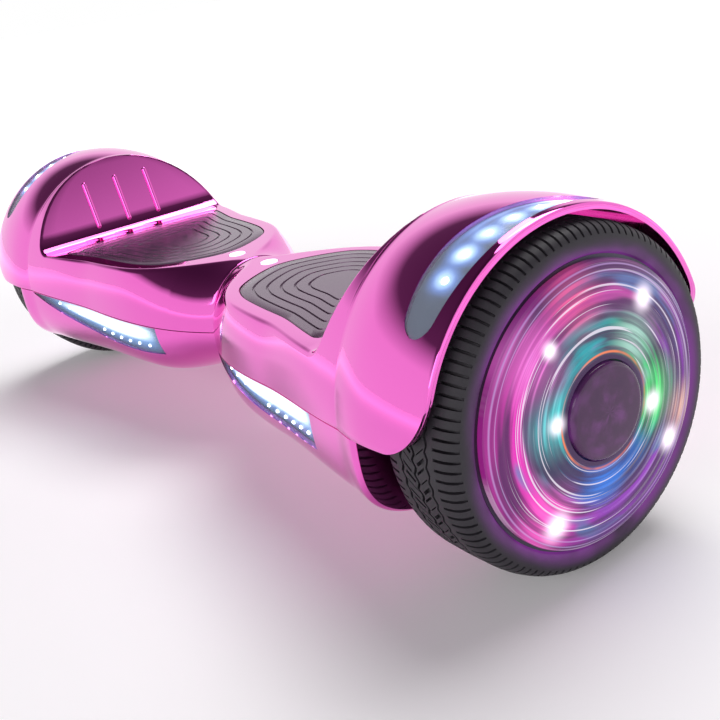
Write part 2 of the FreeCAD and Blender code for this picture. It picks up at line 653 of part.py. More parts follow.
# ---- charging and power parts, under the right half -------------------------------------
def charge_socket():
    x, y = SOCKET_SPOT
    body = post(x, y, GROUND_CLEARANCE - 0.4, GROUND_CLEARANCE + 14.5, SOCKET_BORE + 1.6)
    body = body.fuse(post(x, y, GROUND_CLEARANCE - 0.4, GROUND_CLEARANCE + 1.0, SOCKET_BORE + 3.4))
    body = body.cut(post(x, y, GROUND_CLEARANCE - 1, GROUND_CLEARANCE + 11, SOCKET_BORE))
    for i in range(3):
        angle = math.radians(90 + 120 * i)
        px, py = x + 3.6 * math.cos(angle), y + 3.6 * math.sin(angle)
        body = body.fuse(post(px, py, GROUND_CLEARANCE + 7, GROUND_CLEARANCE + 12, 1.0))
    return body


def socket_cap():
    x, y = SOCKET_SPOT
    lid = post(x, y, CAP_Z - 1.0, CAP_Z + 0.8, CAP_RADIUS)
    lid = lid.fuse(box(x - 4, x + 4, y, CAP_HINGE_Y, CAP_Z - 1.0, CAP_Z + 0.8))
    lid = lid.fuse(rod(x - 6, x + 6, 1.4, CAP_Z, CAP_HINGE_Y))
    return lid.fuse(box(x - 3, x + 3, y - CAP_RADIUS - 2.5, y - 6, CAP_Z - 1.0, CAP_Z + 0.8))


def power_button():
    x, y = BUTTON_SPOT
    knob = post(x, y, GROUND_CLEARANCE - 1.6, FRAME_FLOOR - 9.8, BUTTON_RADIUS)
    knob = knob.fuse(post(x, y, FRAME_FLOOR - 11.4, FRAME_FLOOR - 9.8, BUTTON_RADIUS + 2))
    knob = knob.fuse(post(x, y, FRAME_FLOOR - 10, FRAME_FLOOR - BUTTON_TRAVEL - 0.4, 3.0))
    return knob.cut(post(x, y, GROUND_CLEARANCE - 2, GROUND_CLEARANCE - 1.2, BUTTON_RADIUS - 2))


def right_cuts():
    """Openings that only the right bottom cover has."""
    x, y = SOCKET_SPOT
    socket_hole = post(x, y, GROUND_CLEARANCE - 4, GROUND_CLEARANCE + 12, SOCKET_BORE + 1.6 + LOOSE)
    socket_face = post(x, y, GROUND_CLEARANCE - 4, GROUND_CLEARANCE + 1.2, SOCKET_BORE + 3.4 + LOOSE)
    bx, by = BUTTON_SPOT
    button_hole = post(bx, by, GROUND_CLEARANCE - 4, GROUND_CLEARANCE + 5, BUTTON_RADIUS + LOOSE)
    return [socket_hole, socket_face, button_hole]


def battery_bracket(x0, y_half, z_top):
    strap = box(x0, x0 + 22, -y_half - 2, y_half + 2, z_top, z_top + 1.5)
    for side in (-1, 1):
        near, far = sorted((side * (y_half + 0.5), side * (y_half + 2.0)))
        strap = strap.fuse(box(x0, x0 + 22, near, far, FRAME_TOP, z_top + 1))
    return strap


# ---- build every node ------------------------------------------------------------------
LEFT_LIGHT = (182.0, 30.0)      # blunt end, pointed end
RIGHT_LIGHT = (48.0, 210.0)     # the same, measured as on a left half


def shared_parts(hollow):
    """The parts that both halves have, drawn as on the left half."""
    return {
        "top_cover": top_cover(hollow),
        "cover_screws": cover_screws(),
        "axle_clamp": axle_clamp(),
        "clamp_bolts": clamp_bolts(),
        "axle": axle(),
        "stator": stator(),
        "tyre": tyre(),
        "hub_shell": hub_shell(),
        "hub_side_cover": hub_side_cover(),
        "magnets": magnets(),
        "wheel_bearings": group([bearing(TYRE_IN + 2.5), bearing(TYRE_OUT - 11.5)]),
        "wheel_light_board": wheel_light_board(),
        "wheel_light_cover": wheel_light_cover(),
        "wheel_cap": wheel_cap(),
        "footpad": footpad(),
        "sensor_board": sensor_board(),
        "fender_light_lens": layer(0.1, 1.5, crescent_prism(0.0)),
        "fender_light_board": layer(1.7, 2.4, crescent_prism(-1.0)),
        "indicator_lens": post(INDICATOR_X, 0, DECK_HEIGHT - 3.0, DECK_HEIGHT + 0.3, 5.5),
    }


def lit_parts(hollow, light, extra_cuts):
    """The bottom cover and the headlight of one half, drawn as on the left half."""
    blunt, tip = light
    return {
        "bottom_cover": bottom_cover(hollow, headlight_prism(blunt, tip, 0.3), extra_cuts),
        "headlight_lens": layer(0.5, WALL - 0.3, headlight_prism(blunt, tip, 0.0)),
        "headlight_board": layer(WALL + 2.4, WALL + 3.6, headlight_prism(blunt, tip, -1.6)),
    }


def left_frame():
    """The frame that grips the pivot shaft and the stop pin, and carries the control board."""
    pin_hole = rod(PIVOT_BLOCK_START - 1, PIVOT_BLOCK_START + 14, STOP_PIN_RADIUS + SEATED,
                   PIVOT_Z + STOP_PIN_REACH)
    solid = frame(SHAFT_RADIUS + SEATED).cut(pin_hole)
    for x in (82, 168):
        for y in (-27, 27):
            solid = solid.fuse(post(x, y, FRAME_TOP - 1, FRAME_TOP + 5, 3.0))
    return solid


def right_frame():
    """The frame that turns on the pivot shaft, with the slot for the stop pin."""
    return mirrored(frame(SHAFT_RADIUS + 3 + SEATED)).cut(stop_slot())


def middle_parts():
    """The pivot, the cables, the boards and the battery."""
    battery_x0 = -PIVOT_BLOCK_END - 20 - BATTERY[0]
    battery_top = FRAME_TOP + 0.3 + BATTERY[2]
    half_battery = BATTERY[1] / 2.0
    return {
        "pivot_shaft": pivot_shaft(),
        "pivot_circlip": pivot_circlip(),
        "pivot_bushes": pivot_bushes(),
        "stop_pin": rod(-PIVOT_BLOCK_START - 13, PIVOT_BLOCK_START + 14, STOP_PIN_RADIUS,
                        PIVOT_Z + STOP_PIN_REACH),
        "joint_seal": ring(-JOINT_GAP + 0.4, JOINT_GAP - 0.4, NECK_RADIUS - 0.6,
                           NECK_RADIUS - 4.0, PIVOT_Z),
        "harness_cable": harness(),
        "control_board": control_board(),
        "battery_pack": box(battery_x0, battery_x0 + BATTERY[0], -half_battery, half_battery,
                            FRAME_TOP + 0.3, battery_top),
        "battery_bracket": battery_bracket(battery_x0 + 45, half_battery, battery_top + 0.3),
        "right_motor_cable": rod(-AXLE_START_X + 0.4, -PIVOT_BLOCK_END - 16.6, 2.5),
        "charge_socket": charge_socket(),
        "socket_cap": socket_cap(),
        "power_button": power_button(),
    }


def save(name, shape):
    if shape.ShapeType == "Compound" and len(shape.Solids) == 1:
        shape = shape.Solids[0]
    shape.exportStep("parts/" + name + ".step")
    span = shape.BoundBox
    print(f"{name:26s} solids {len(shape.Solids):2d} valid {shape.isValid()}"
          f"  volume {shape.Volume:10.1f}  x {span.XMin:7.1f} {span.XMax:7.1f}"
          f"  y {span.YMin:6.1f} {span.YMax:6.1f}  z {span.ZMin:6.1f} {span.ZMax:6.1f}")


os.makedirs("parts", exist_ok=True)
space = cover_space()
nodes = {"left_frame": left_frame(), "right_frame": right_frame()}
for part, shape in shared_parts(space).items():
    nodes["left_" + part] = shape
    nodes["right_" + part] = mirrored(shape)
for part, shape in lit_parts(space, LEFT_LIGHT, []).items():
    nodes["left_" + part] = shape
for part, shape in lit_parts(space, RIGHT_LIGHT, [mirrored(cut) for cut in right_cuts()]).items():
    nodes["right_" + part] = mirrored(shape)
nodes.update(middle_parts())
for node, shape in nodes.items():
    save(node, shape)
print(len(nodes), "nodes")
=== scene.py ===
# %% [markdown]
# # A self-balancing board with lit wheels
# Two chrome-pink halves meet in a pivot. Each one carries a rubber pad, a headlight, a crescent
# light on its fender and a hub-motor wheel whose disc glows. The CAD model gives the true sizes
# and the joints. This file gives each visible piece its finished surface and its light.

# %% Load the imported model
import json
import math

import bmesh
import bpy
from mathutils import Matrix, Vector


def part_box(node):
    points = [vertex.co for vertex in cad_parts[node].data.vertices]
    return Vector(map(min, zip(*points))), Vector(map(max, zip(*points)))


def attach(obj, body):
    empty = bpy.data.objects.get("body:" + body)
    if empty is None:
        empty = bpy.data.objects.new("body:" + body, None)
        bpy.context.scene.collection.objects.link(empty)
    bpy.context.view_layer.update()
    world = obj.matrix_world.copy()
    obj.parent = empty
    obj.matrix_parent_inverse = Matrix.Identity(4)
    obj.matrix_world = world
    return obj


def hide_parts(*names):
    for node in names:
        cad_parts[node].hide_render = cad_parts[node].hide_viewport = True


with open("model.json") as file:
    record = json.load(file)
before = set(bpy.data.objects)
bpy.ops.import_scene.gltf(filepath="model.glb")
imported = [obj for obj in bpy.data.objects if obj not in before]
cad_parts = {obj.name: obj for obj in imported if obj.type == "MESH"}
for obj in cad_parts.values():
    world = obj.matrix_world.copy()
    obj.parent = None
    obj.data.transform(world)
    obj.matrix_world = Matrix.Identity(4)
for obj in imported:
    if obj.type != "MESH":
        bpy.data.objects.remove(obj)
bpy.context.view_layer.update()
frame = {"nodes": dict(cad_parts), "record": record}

# %% [markdown]
# ## Sizes
# The CAD nodes say where everything is, so the sizes come from their boxes. Shapes are worked out
# in millimetres, because that is how such parts are drawn, and turned into metres only when a
# mesh is made. The few sizes a box can't tell, such as wall thickness, repeat the part's own.

# %% Measure the nodes, in millimetres
MM = 0.001


def low_high(node):
    low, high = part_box(node)
    return Vector(low) / MM, Vector(high) / MM


tyre_low, tyre_high = low_high("left_tyre")
cover_low, cover_high = low_high("left_top_cover")
pad_low, pad_high = low_high("left_footpad")
seal_low, seal_high = low_high("joint_seal")
WHEEL_RADIUS = (tyre_high.z - tyre_low.z) / 2.0
AXLE_Z = (tyre_high.z + tyre_low.z) / 2.0
TYRE_IN, TYRE_OUT = tyre_low.x, tyre_high.x
FENDER_OUT = cover_high.x
FENDER_RADIUS = cover_high.z - AXLE_Z
JOINT_GAP = cover_low.x
DECK_HEIGHT = pad_high.z
PIVOT_Z = (seal_low.z + seal_high.z) / 2.0
NECK_RADIUS = DECK_HEIGHT - PIVOT_Z
GROUND_CLEARANCE = round(low_high("left_bottom_cover")[0].z, 1)
SEAM_GAP = 0.3
SEAM_RISE = 13.0
SEAM_HEIGHT = low_high("left_bottom_cover")[1].z + SEAM_GAP - SEAM_RISE
WALL = 2.6
WELL_RADIUS = WHEEL_RADIUS + 3.8
WELL_WALL_OUT = TYRE_IN - 8.0
WELL_WALL_IN = WELL_WALL_OUT - WALL
CROWN_X = TYRE_IN + 12.0
CREASE_X = TYRE_IN - 26.0
WALL_FOOT_X = TYRE_IN - 47.0
WAIST_HALF_DEPTH = 77.0
POCKET_FLOOR = DECK_HEIGHT - 5.0
DECK_UNDERSIDE = POCKET_FLOOR - WALL
RIM_WIDTH = 10.0
PAD_START_X = pad_low.x - 0.4
PAD_END_X = pad_high.x + 0.4
HUB_RADIUS = low_high("left_hub_shell")[1].z - AXLE_Z
print(f"wheel {WHEEL_RADIUS:.1f}, fender {FENDER_RADIUS:.1f}, deck {DECK_HEIGHT:.1f} mm")

# %% [markdown]
# ## Shader expressions
# A material is a graph of nodes, but most of it is plain maths on a few sockets. A small class
# wraps a socket, so that `1 - mask` or `wave * 0.5` adds the Math nodes by itself. Colours go
# through Mix nodes instead, because a Math node would turn them grey.

# %% Wrap sockets and materials


class Signal:
    """One output socket, with arithmetic that adds Math nodes."""

    def __init__(self, finish, socket):
        self.finish = finish
        self.socket = socket

    def math(self, operation, *values, clamp=False):
        settings = {"operation": operation, "use_clamp": clamp}
        return self.finish.node("ShaderNodeMath", settings, *values).out(0)

    def __add__(self, other):
        return self.math("ADD", self, other)

    __radd__ = __add__

    def __sub__(self, other):
        return self.math("SUBTRACT", self, other)

    def __rsub__(self, other):
        return self.math("SUBTRACT", other, self)

    def __mul__(self, other):
        return self.math("MULTIPLY", self, other)

    __rmul__ = __mul__

    def __truediv__(self, other):
        return self.math("DIVIDE", self, other)

    def __rtruediv__(self, other):
        return self.math("DIVIDE", other, self)

    def __pow__(self, other):
        return self.math("POWER", self, other)

    def __neg__(self):
        return self.math("MULTIPLY", self, -1.0)

    def clamped(self):
        """The value held between 0 and 1."""
        return self.math("MULTIPLY", self, 1.0, clamp=True)

    def magnitude(self):
        return self.math("ABSOLUTE", self)

    def above(self, edge, soft):
        """0 below edge and 1 above edge + soft, with a smooth step between."""
        settings = {"interpolation_type": "SMOOTHSTEP"}
        return self.finish.node("ShaderNodeMapRange", settings, self, edge, edge + soft).out(0)

    def line(self, place, width):
        """1 on a line at place, falling to 0 at width to either side."""
        away = (self - place).magnitude()
        return 1.0 - away.above(0.0, width)


print("signals ready")

# %% [markdown]
# A finish is one material. Its `node` method takes a node's kind, its settings, and the values or
# links of its sockets, and the other methods are short names for the nodes that are used most.

# %% Build materials


class Step:
    """One added node, which gives its outputs as signals."""

    def __init__(self, finish, node):
        self.finish = finish
        self.node = node

    def out(self, key):
        return Signal(self.finish, self.node.outputs[key])


class Finish:
    """One material under construction."""

    def __init__(self, name, **shader):
        self.material = bpy.data.materials.new(name)
        self.material.use_nodes = True
        self.tree = self.material.node_tree
        self.shader = self.tree.nodes["Principled BSDF"]
        for key, value in shader.items():
            self.set(key.replace("_", " "), value)

    def set(self, name, value):
        """Sets or links one of the surface shader's inputs."""
        self.plug(self.shader.inputs[name], value)

    def plug(self, socket, value):
        if isinstance(value, Signal):
            self.tree.links.new(value.socket, socket)
        elif isinstance(value, (tuple, list)) and len(value) == 3 and socket.type == "RGBA":
            socket.default_value = (*value, 1.0)
        else:
            socket.default_value = value

    def node(self, kind, settings, *values, **named):
        """Adds a node: its settings first, then the values or links of its sockets."""
        node = self.tree.nodes.new(kind)
        for key, value in settings.items():
            if key == "stops":
                self.set_stops(node.color_ramp, value)
            else:
                setattr(node, key, value)
        for socket, value in zip([s for s in node.inputs if s.enabled], values):
            self.plug(socket, value)
        for key, value in named.items():
            self.plug(node.inputs[key.replace("_", " ")], value)
        return Step(self, node)

    def set_stops(self, ramp, stops):
        while len(ramp.elements) < len(stops):
            ramp.elements.new(0.5)
        for element, (place, colour) in zip(ramp.elements, stops):
            element.position = place
            element.color = (*colour, 1.0)

    def position(self):
        """Object coordinates as three signals, in metres."""
        coordinates = self.node("ShaderNodeTexCoord", {}).out("Object")
        parts = self.node("ShaderNodeSeparateXYZ", {}, coordinates)
        return parts.out("X"), parts.out("Y"), parts.out("Z")

    def noise(self, scale, detail=3.0, vector=None):
        """Soft noise from 0 to 1 over the object, or over a vector."""
        vector = vector or self.node("ShaderNodeTexCoord", {}).out("Object")
        step = self.node("ShaderNodeTexNoise", {}, Vector=vector, Scale=scale, Detail=detail)
        return step.out(0)

    def mix(self, share, first, second, blend="MIX"):
        settings = {"data_type": "RGBA", "blend_type": blend}
        return self.node("ShaderNodeMix", settings, share, first, second).out(2)

    def ramp(self, value, stops, interpolation="LINEAR"):
        step = self.node("ShaderNodeValToRGB", {"stops": stops}, value)
        step.node.color_ramp.interpolation = interpolation
        return step.out("Color")

    def bump(self, height, strength, distance=0.0005):
        step = self.node("ShaderNodeBump", {}, Strength=strength, Distance=distance, Height=height)
        self.set("Normal", step.out("Normal"))


print("shader helpers ready")

# %% [markdown]
# ## The body's section rule
# A moulded half swells from a round neck to a full fender. A drawing gives that as one rule: at
# each place along X the cross-section is a superellipse, which is a rounded box whose roundness
# is a power. Working the rule out again on a neat grid gives even quads, and a chrome surface
# shows every uneven one.

# %% Section sizes along a half


def ease(value, start, end):
    share = min(1.0, max(0.0, (value - start) / (end - start)))
    return share * share * (3.0 - 2.0 * share)


def fender_radius(x):
    away = (x - CROWN_X) / (FENDER_OUT - CROWN_X)
    return FENDER_RADIUS - 2.5 * away * away


def section_sizes(x):
    """(half depth, belt height, rise, drop, upper power, lower power) of the body at x."""
    shoulder = ease(x, 0.0, 80.0)
    full = fender_radius(max(x, CREASE_X))
    flare = ease(x, 0.5 * TYRE_IN, TYRE_IN)
    arch = ease(x, 0.52 * TYRE_IN, CREASE_X - 6.0)
    waist = WAIST_HALF_DEPTH - (WAIST_HALF_DEPTH - NECK_RADIUS) * math.exp(-x / 55.0)
    depth = waist + (full - waist) * flare
    belt = PIVOT_Z + (AXLE_Z - PIVOT_Z) * shoulder
    low_rise = NECK_RADIUS + (DECK_HEIGHT + 20.5 - AXLE_Z - NECK_RADIUS) * shoulder
    rise = low_rise + (full - low_rise) * arch
    drop = NECK_RADIUS + (AXLE_Z - GROUND_CLEARANCE - NECK_RADIUS) * ease(x, 0.0, 70.0)
    return depth, belt, rise, drop, 2.0 + 0.8 * shoulder * (1.0 - arch), 2.0 + 1.4 * shoulder


def seam_at(x):
    """The two covers meet higher at the wheel than at the neck."""
    return SEAM_HEIGHT + SEAM_RISE * x / WELL_WALL_OUT


def section_point(x, angle, inset=0.0):
    """The (y, z) of the body at x, with angle 0 on the belt line and 90 degrees on top."""
    depth, belt, rise, drop, upper, lower = section_sizes(x)
    height, power = (rise - inset, upper) if angle >= 0.0 else (inset - drop, lower)
    along = max(0.0, math.cos(angle)) ** (2.0 / power)
    return (depth - inset) * along, belt + height * abs(math.sin(angle)) ** (2.0 / power)


def angle_at(x, z, inset=0.0):
    """The section angle at which the body at x is z high."""
    _, belt, rise, drop, upper, lower = section_sizes(x)
    if z >= belt:
        return math.asin(min(1.0, (z - belt) / (rise - inset)) ** (upper / 2.0))
    return -math.asin(min(1.0, (belt - z) / (drop - inset)) ** (lower / 2.0))


def half_depth(x, z, inset=0.0):
    return section_point(x, angle_at(x, z, inset), inset)[0]


print(f"half depth at the deck's middle: {half_depth(110.0, DECK_HEIGHT):.1f} mm")

# %% [markdown]
# ## Mesh helpers
# Each shell starts as a closed skin over rows of points. Openings are cut with exact Booleans,
# because a closed solid cuts cleanly and leaves a closed solid. Edges sharper than 35 degrees
# stay crisp, and the rest is shaded smooth.

# %% Make, cut and finish closed meshes


def solid(name, points, faces, weld=2e-6):
    """A closed mesh from points in millimetres, with its faces turned outwards."""
    mesh = bpy.data.meshes.new(name)
    mesh.from_pydata([Vector(p) * MM for p in points], [], faces)
    work = bmesh.new()
    work.from_mesh(mesh)
    bmesh.ops.remove_doubles(work, verts=work.verts, dist=weld)
    bmesh.ops.recalc_face_normals(work, faces=work.faces)
    work.to_mesh(mesh)
    work.free()
    piece = bpy.data.objects.new(name, mesh)
    bpy.context.scene.collection.objects.link(piece)
    return piece


def skin(name, rings):
    """A solid over closed rings of equally many points, with a flat face at each end."""
    count = len(rings[0])
    points = [p for ring in rings for p in ring]
    faces = [list(range(count)), list(range(len(points) - count, len(points)))]
    for i in range(len(rings) - 1):
        for j in range(count):
            k = (j + 1) % count
            faces.append([i * count + j, i * count + k, (i + 1) * count + k, (i + 1) * count + j])
    return solid(name, points, faces)


def slab(name, front, back):
    """A solid between two grids of equally many points."""
    rows, columns = len(front), len(front[0])
    points = [p for row in front for p in row] + [p for row in back for p in row]
    half = rows * columns
    faces = []
    for i in range(rows - 1):
        for j in range(columns - 1):
            near, far = i * columns + j, (i + 1) * columns + j
            quad = [near, near + 1, far + 1, far]
            faces += [quad, [n + half for n in quad]]
    rim = [j for j in range(columns)]
    rim += [i * columns + columns - 1 for i in range(1, rows)]
    rim += [(rows - 1) * columns + j for j in range(columns - 2, -1, -1)]
    rim += [i * columns for i in range(rows - 2, 0, -1)]
    for a, b in zip(rim, rim[1:] + rim[:1]):
        faces.append([a, b, b + half, a + half])
    return solid(name, points, faces)


def turned(name, profile, segments=96, z=AXLE_Z):
    """The solid that closed (x, radius) points sweep round the axle."""
    count = len(profile)
    points = []
    faces = []
    for i in range(segments):
        angle = 2.0 * math.pi * i / segments
        points += [(x, r * math.sin(angle), z + r * math.cos(angle)) for x, r in profile]
        for j in range(count):
            k = (j + 1) % count
            n = (i + 1) % segments
            faces.append([i * count + j, i * count + k, n * count + k, n * count + j])
    return solid(name, points, faces)


def prism(name, outline, axis, low, high):
    """A solid over a flat outline of (a, b) points, from low to high along an axis."""
    def place(a, b, c):
        return {"X": (c, a, b), "Y": (a, c, b), "Z": (a, b, c)}[axis]
    return skin(name, [[place(a, b, c) for a, b in outline] for c in (low, high)])


def disc(a, b, radius, segments=32):
    step = 2.0 * math.pi / segments
    return [(a + radius * math.cos(i * step), b + radius * math.sin(i * step)) for i in range(segments)]


def post(x, y, low, high, radius):
    return prism("post", disc(x, y, radius), "Z", low, high)


print("solids ready")

# %% [markdown]
# Cutting adds one Boolean for each cutter and applies them together. A mirrored copy has its faces
# turned out again, because mirroring turns a shape inside out.

# %% Cut, reshape and hand over


def settle(piece):
    """Applies a piece's modifiers to its mesh."""
    depsgraph = bpy.context.evaluated_depsgraph_get()
    mesh = bpy.data.meshes.new_from_object(piece.evaluated_get(depsgraph))
    piece.modifiers.clear()
    piece.data = mesh
    return piece


def carve(piece, cutters, operation="DIFFERENCE"):
    for cutter in cutters:
        step = piece.modifiers.new("carve", "BOOLEAN")
        step.operation, step.solver, step.object = operation, "EXACT", cutter
    settle(piece)
    for cutter in cutters:
        bpy.data.objects.remove(cutter)
    return piece


def reshape(piece, change):
    """Gives each point of a mesh the place that change returns, and turns faces outwards."""
    work = bmesh.new()
    work.from_mesh(piece.data)
    for vert in work.verts:
        vert.co = change(vert.co)
    bmesh.ops.recalc_face_normals(work, faces=work.faces)
    work.to_mesh(piece.data)
    work.free()
    return piece


def mirrored(piece, name):
    """A copy of a left piece for the right half."""
    copy = bpy.data.objects.new(name, piece.data.copy())
    bpy.context.scene.collection.objects.link(copy)
    return reshape(copy, lambda place: Vector((-place.x, place.y, place.z)))


def hand_over(piece, finish, body, slot, *nodes, crease=35.0):
    """Shades a finished piece, gives it its material, hangs it on its body and hides its CAD nodes."""
    piece.data.shade_smooth()
    piece.data.set_sharp_from_angle(angle=math.radians(crease))
    piece.data.materials.clear()
    piece.data.materials.append(finish.material)
    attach(piece, body)
    if nodes:
        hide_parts(*nodes)
    print(f"{piece.name}: {len(piece.data.polygons)} faces on {body}")
    return piece


# %% [markdown]
# ## Chrome pink
# The covers are plastic with a vacuum-plated metal layer under a pink lacquer. A metallic shader
# with a saturated pink and little roughness does that. Real plating is never quite even: the
# lacquer pools a little, so the roughness and the pink drift slowly, and the moulding's long
# waves bend the reflections very slightly.

# %% The cover's plated finish
chrome = Finish("chrome_pink", Metallic=1.0, Coat_Weight=0.25, Coat_Roughness=0.03, Coat_IOR=1.4)
lacquer = chrome.noise(9.0, 2.0)
chrome.set("Base Color", chrome.mix(lacquer, (0.88, 0.135, 0.58), (0.91, 0.19, 0.66)))
chrome.set("Roughness", 0.045 + lacquer * 0.04)
chrome.bump(chrome.noise(14.0, 1.0), 0.03, 0.0006)
print(chrome.material.name)

# %% [markdown]
# ## The top cover
# The upper shell runs from the neck to the fender's lip. Its deck is a flat cut, and a steep wall
# climbs from the deck to the fender. Every row of the grid puts a point exactly on the edge
# between the side and the cut, with a small curve over it, so the edge catches one clean line of
# light. A bevel could round it too, but would have to find that edge among thousands.

# %% Height of the flat cut along a half


def cut_height(x, deck, shift, blend):
    """Deck height, then a fillet, then the steep wall up to the fender's crease."""
    foot, top = WALL_FOOT_X + shift, CREASE_X + shift
    climb = AXLE_Z + FENDER_RADIUS - deck
    slope = math.atan2(climb, top - foot)
    radius = blend / math.tan(slope / 2.0)
    start = foot - blend
    if x <= start:
        return deck
    if x <= start + radius * math.sin(slope):
        return deck + radius - math.sqrt(radius ** 2 - (x - start) ** 2)
    return deck + (x - foot) * climb / (top - foot)


def cover_row(x, inset, seam, cut, soft):
    """One row of points from the seam, up the back, over the top and down the front."""
    crown = section_point(x, math.pi / 2.0, inset)[1]
    cut = min(cut, crown)
    first, last = angle_at(x, seam, inset), angle_at(x, cut, inset)
    samples = [first + (last - first) * i / 120.0 for i in range(121)]
    places = [section_point(x, a, inset) for a in samples]
    lengths = [0.0]
    for p, q in zip(places, places[1:]):
        lengths.append(lengths[-1] + math.dist(p, q))
    corner = places[-1]
    tuck = min(soft, 0.45 * corner[0])
    side = []
    cursor = 0
    for i in range(SIDE_COLUMNS):
        want = (lengths[-1] - tuck) * i / (SIDE_COLUMNS - 1.0)
        while cursor < 119 and lengths[cursor + 1] < want:
            cursor += 1
        span = max(1e-9, lengths[cursor + 1] - lengths[cursor])
        share = (want - lengths[cursor]) / span
        step = samples[cursor + 1] - samples[cursor]
        side.append(section_point(x, samples[cursor] + step * share, inset))
    start, end = side[-1], (corner[0] - tuck, cut)
    for i in range(1, 5):
        t = i / 5.0
        a, b, c = (1 - t) ** 2, 2 * t * (1 - t), t * t
        side.append(tuple(a * p + b * q + c * r for p, q, r in zip(start, corner, end)))
    side += [(end[0] * (1.0 - i / FLAT_COLUMNS), cut) for i in range(FLAT_COLUMNS + 1)]
    if inset < 2.0:
        side = [(side[0][0] - 0.5, seam), (side[0][0] - 0.12, seam + 0.14)] + [
            (y, max(z, seam + 0.5 * (i == 0))) for i, (y, z) in enumerate(side)]
    other = [(-y, z) for y, z in reversed(side[:-1])]
    return [(x, y, z) for y, z in side + other]


SIDE_COLUMNS = 42
FLAT_COLUMNS = 7
wall_rows = [WALL_FOOT_X - 9.0 + 1.5 * i for i in range(10)]
wall_rows += [CREASE_X - (CREASE_X - wall_rows[-1]) * (1.0 - i / 14.0) ** 2 for i in range(1, 15)]
print(f"{len(wall_rows)} rows from the deck to the crease")

# %% [markdown]
# The shell is one skin over the outer rows. The hollow is a second skin of the same rule, set in by
# the wall's thickness. Cutting one from the other gives an even wall, which scaling a copy down
# would not.

# %% Skin the outer form and the hollow inside it
outer_rows = [(JOINT_GAP, 1.0), (JOINT_GAP + 0.3, 0.3), (JOINT_GAP + 1.0, 0.0)]
outer_rows += [(3.0 + 4.0 * i, 0.0) for i in range(8)] + [(33.0 + 5.6 * i, 0.0) for i in range(27)]
outer_rows = [row for row in outer_rows if row[0] < wall_rows[0] - 2.0]
outer_rows += [(x, 0.0) for x in wall_rows]
outer_rows += [(CREASE_X + 3.3 * i, 0.0) for i in range(1, 21)]
outer_rows += [(FENDER_OUT - 0.8, 0.0), (FENDER_OUT - 0.25, 0.2), (FENDER_OUT, 0.7)]


def top_form(name, rows, below_seam, deck, shift, blend, soft):
    rings = []
    for x, inset in rows:
        cut = cut_height(x, deck, shift, blend) - (inset if shift == 0.0 else 0.0)
        rings.append(cover_row(x, inset, seam_at(x) - below_seam, cut, soft))
    return skin(name, rings)


hollow_rows = [(x, WALL) for x, inset in outer_rows if 3.0 < x < WELL_WALL_IN - 2.0]
hollow_rows = [(JOINT_GAP - 2.0, WALL)] + hollow_rows + [(WELL_WALL_IN, WALL)]
left_top = top_form("left_top_shell", outer_rows, 0.0, DECK_HEIGHT, 0.0, 9.0, 2.6)
hollow = top_form("hollow", hollow_rows, 5.0, DECK_UNDERSIDE, WALL + 0.2, 5.0, 1.0)
print(len(left_top.data.polygons), len(hollow.data.polygons), "faces")

# %% [markdown]
# ## Outlines on the shell
# The pad sits in a pocket, the crescent light in a recess, and the fender's lower outer corner is
# rounded. Each outline is worked out once here and used twice: for the cut, and for the piece
# that fills it, which is a little smaller. That way the gap between them is even all round.

# %% The pad's outline and the crescent's grid


def pad_outline(inset):
    """Half of the pad's edge as (x, y), round at the neck end and square at the wall."""
    start, end = PAD_START_X + inset, PAD_END_X - inset
    edge = [(start, 0.0)]
    for i in range(1, 48):
        x = start + (end - start) * (1.0 - math.cos(math.pi * i / 48.0)) / 2.0
        nose, tail = min(1.0, (x - start) / 26.0), min(1.0, (end - x) / 13.0)
        full = half_depth(x, DECK_HEIGHT) - RIM_WIDTH - inset
        rounded = math.sqrt(1.0 - (1.0 - nose) ** 2) * (1.0 - (1.0 - tail) ** 3) ** 0.34
        edge.append((x, full * rounded))
    edge.append((end, 0.0))
    return edge + [(x, -y) for x, y in reversed(edge[1:-1])]


CRESCENT_TILT = math.radians(68.0)
CRESCENT_TOP = 62.0
CRESCENT_LOW = 49.0


def crescent_span(v, grow):
    """The crescent's two edges along X at v, measured along the fender from its middle."""
    low = CRESCENT_LOW + grow
    inner = CROWN_X + 3.0 + 0.1038 * v + 0.003788 * v * v - grow
    outer = FENDER_OUT - 5.0 + 0.0447 * v - 0.000981 * v * v + grow
    if v < 8.0 - low:
        share = min(1.0, (8.0 - low - v) / 8.0)
        middle, half = (inner + outer) / 2.0, (outer - inner) / 2.0
        half *= math.sqrt(max(0.0, 1.0 - share ** 2))
        return middle - half, middle + half
    return inner, max(inner, outer)


def crescent_grid(inset, grow, rows=64, columns=8):
    grid = []
    for i in range(rows + 1):
        share = (1.0 - math.cos(math.pi * i / rows)) / 2.0
        v = -CRESCENT_LOW - grow + (CRESCENT_LOW + CRESCENT_TOP + 2.0 * grow) * share
        inner, outer = crescent_span(v, grow)
        row = []
        for j in range(columns + 1):
            x = inner + (outer - inner) * j / columns
            radius = fender_radius(x) - inset
            angle = CRESCENT_TILT + math.asin(v / radius)
            row.append((x, -radius * math.cos(angle), AXLE_Z + radius * math.sin(angle)))
        grid.append(row)
    return grid


print(f"pad edge {len(pad_outline(0.0))} points")

# %% [markdown]
# The top shell is cut by its hollow, the wheel well, the axle hole, the pad's pocket with four
# holes for the pad's plungers, the indicator's hole and the crescent's recess. One cutter for each
# keeps every opening easy to find and change. The right shell is a mirrored copy of the result.

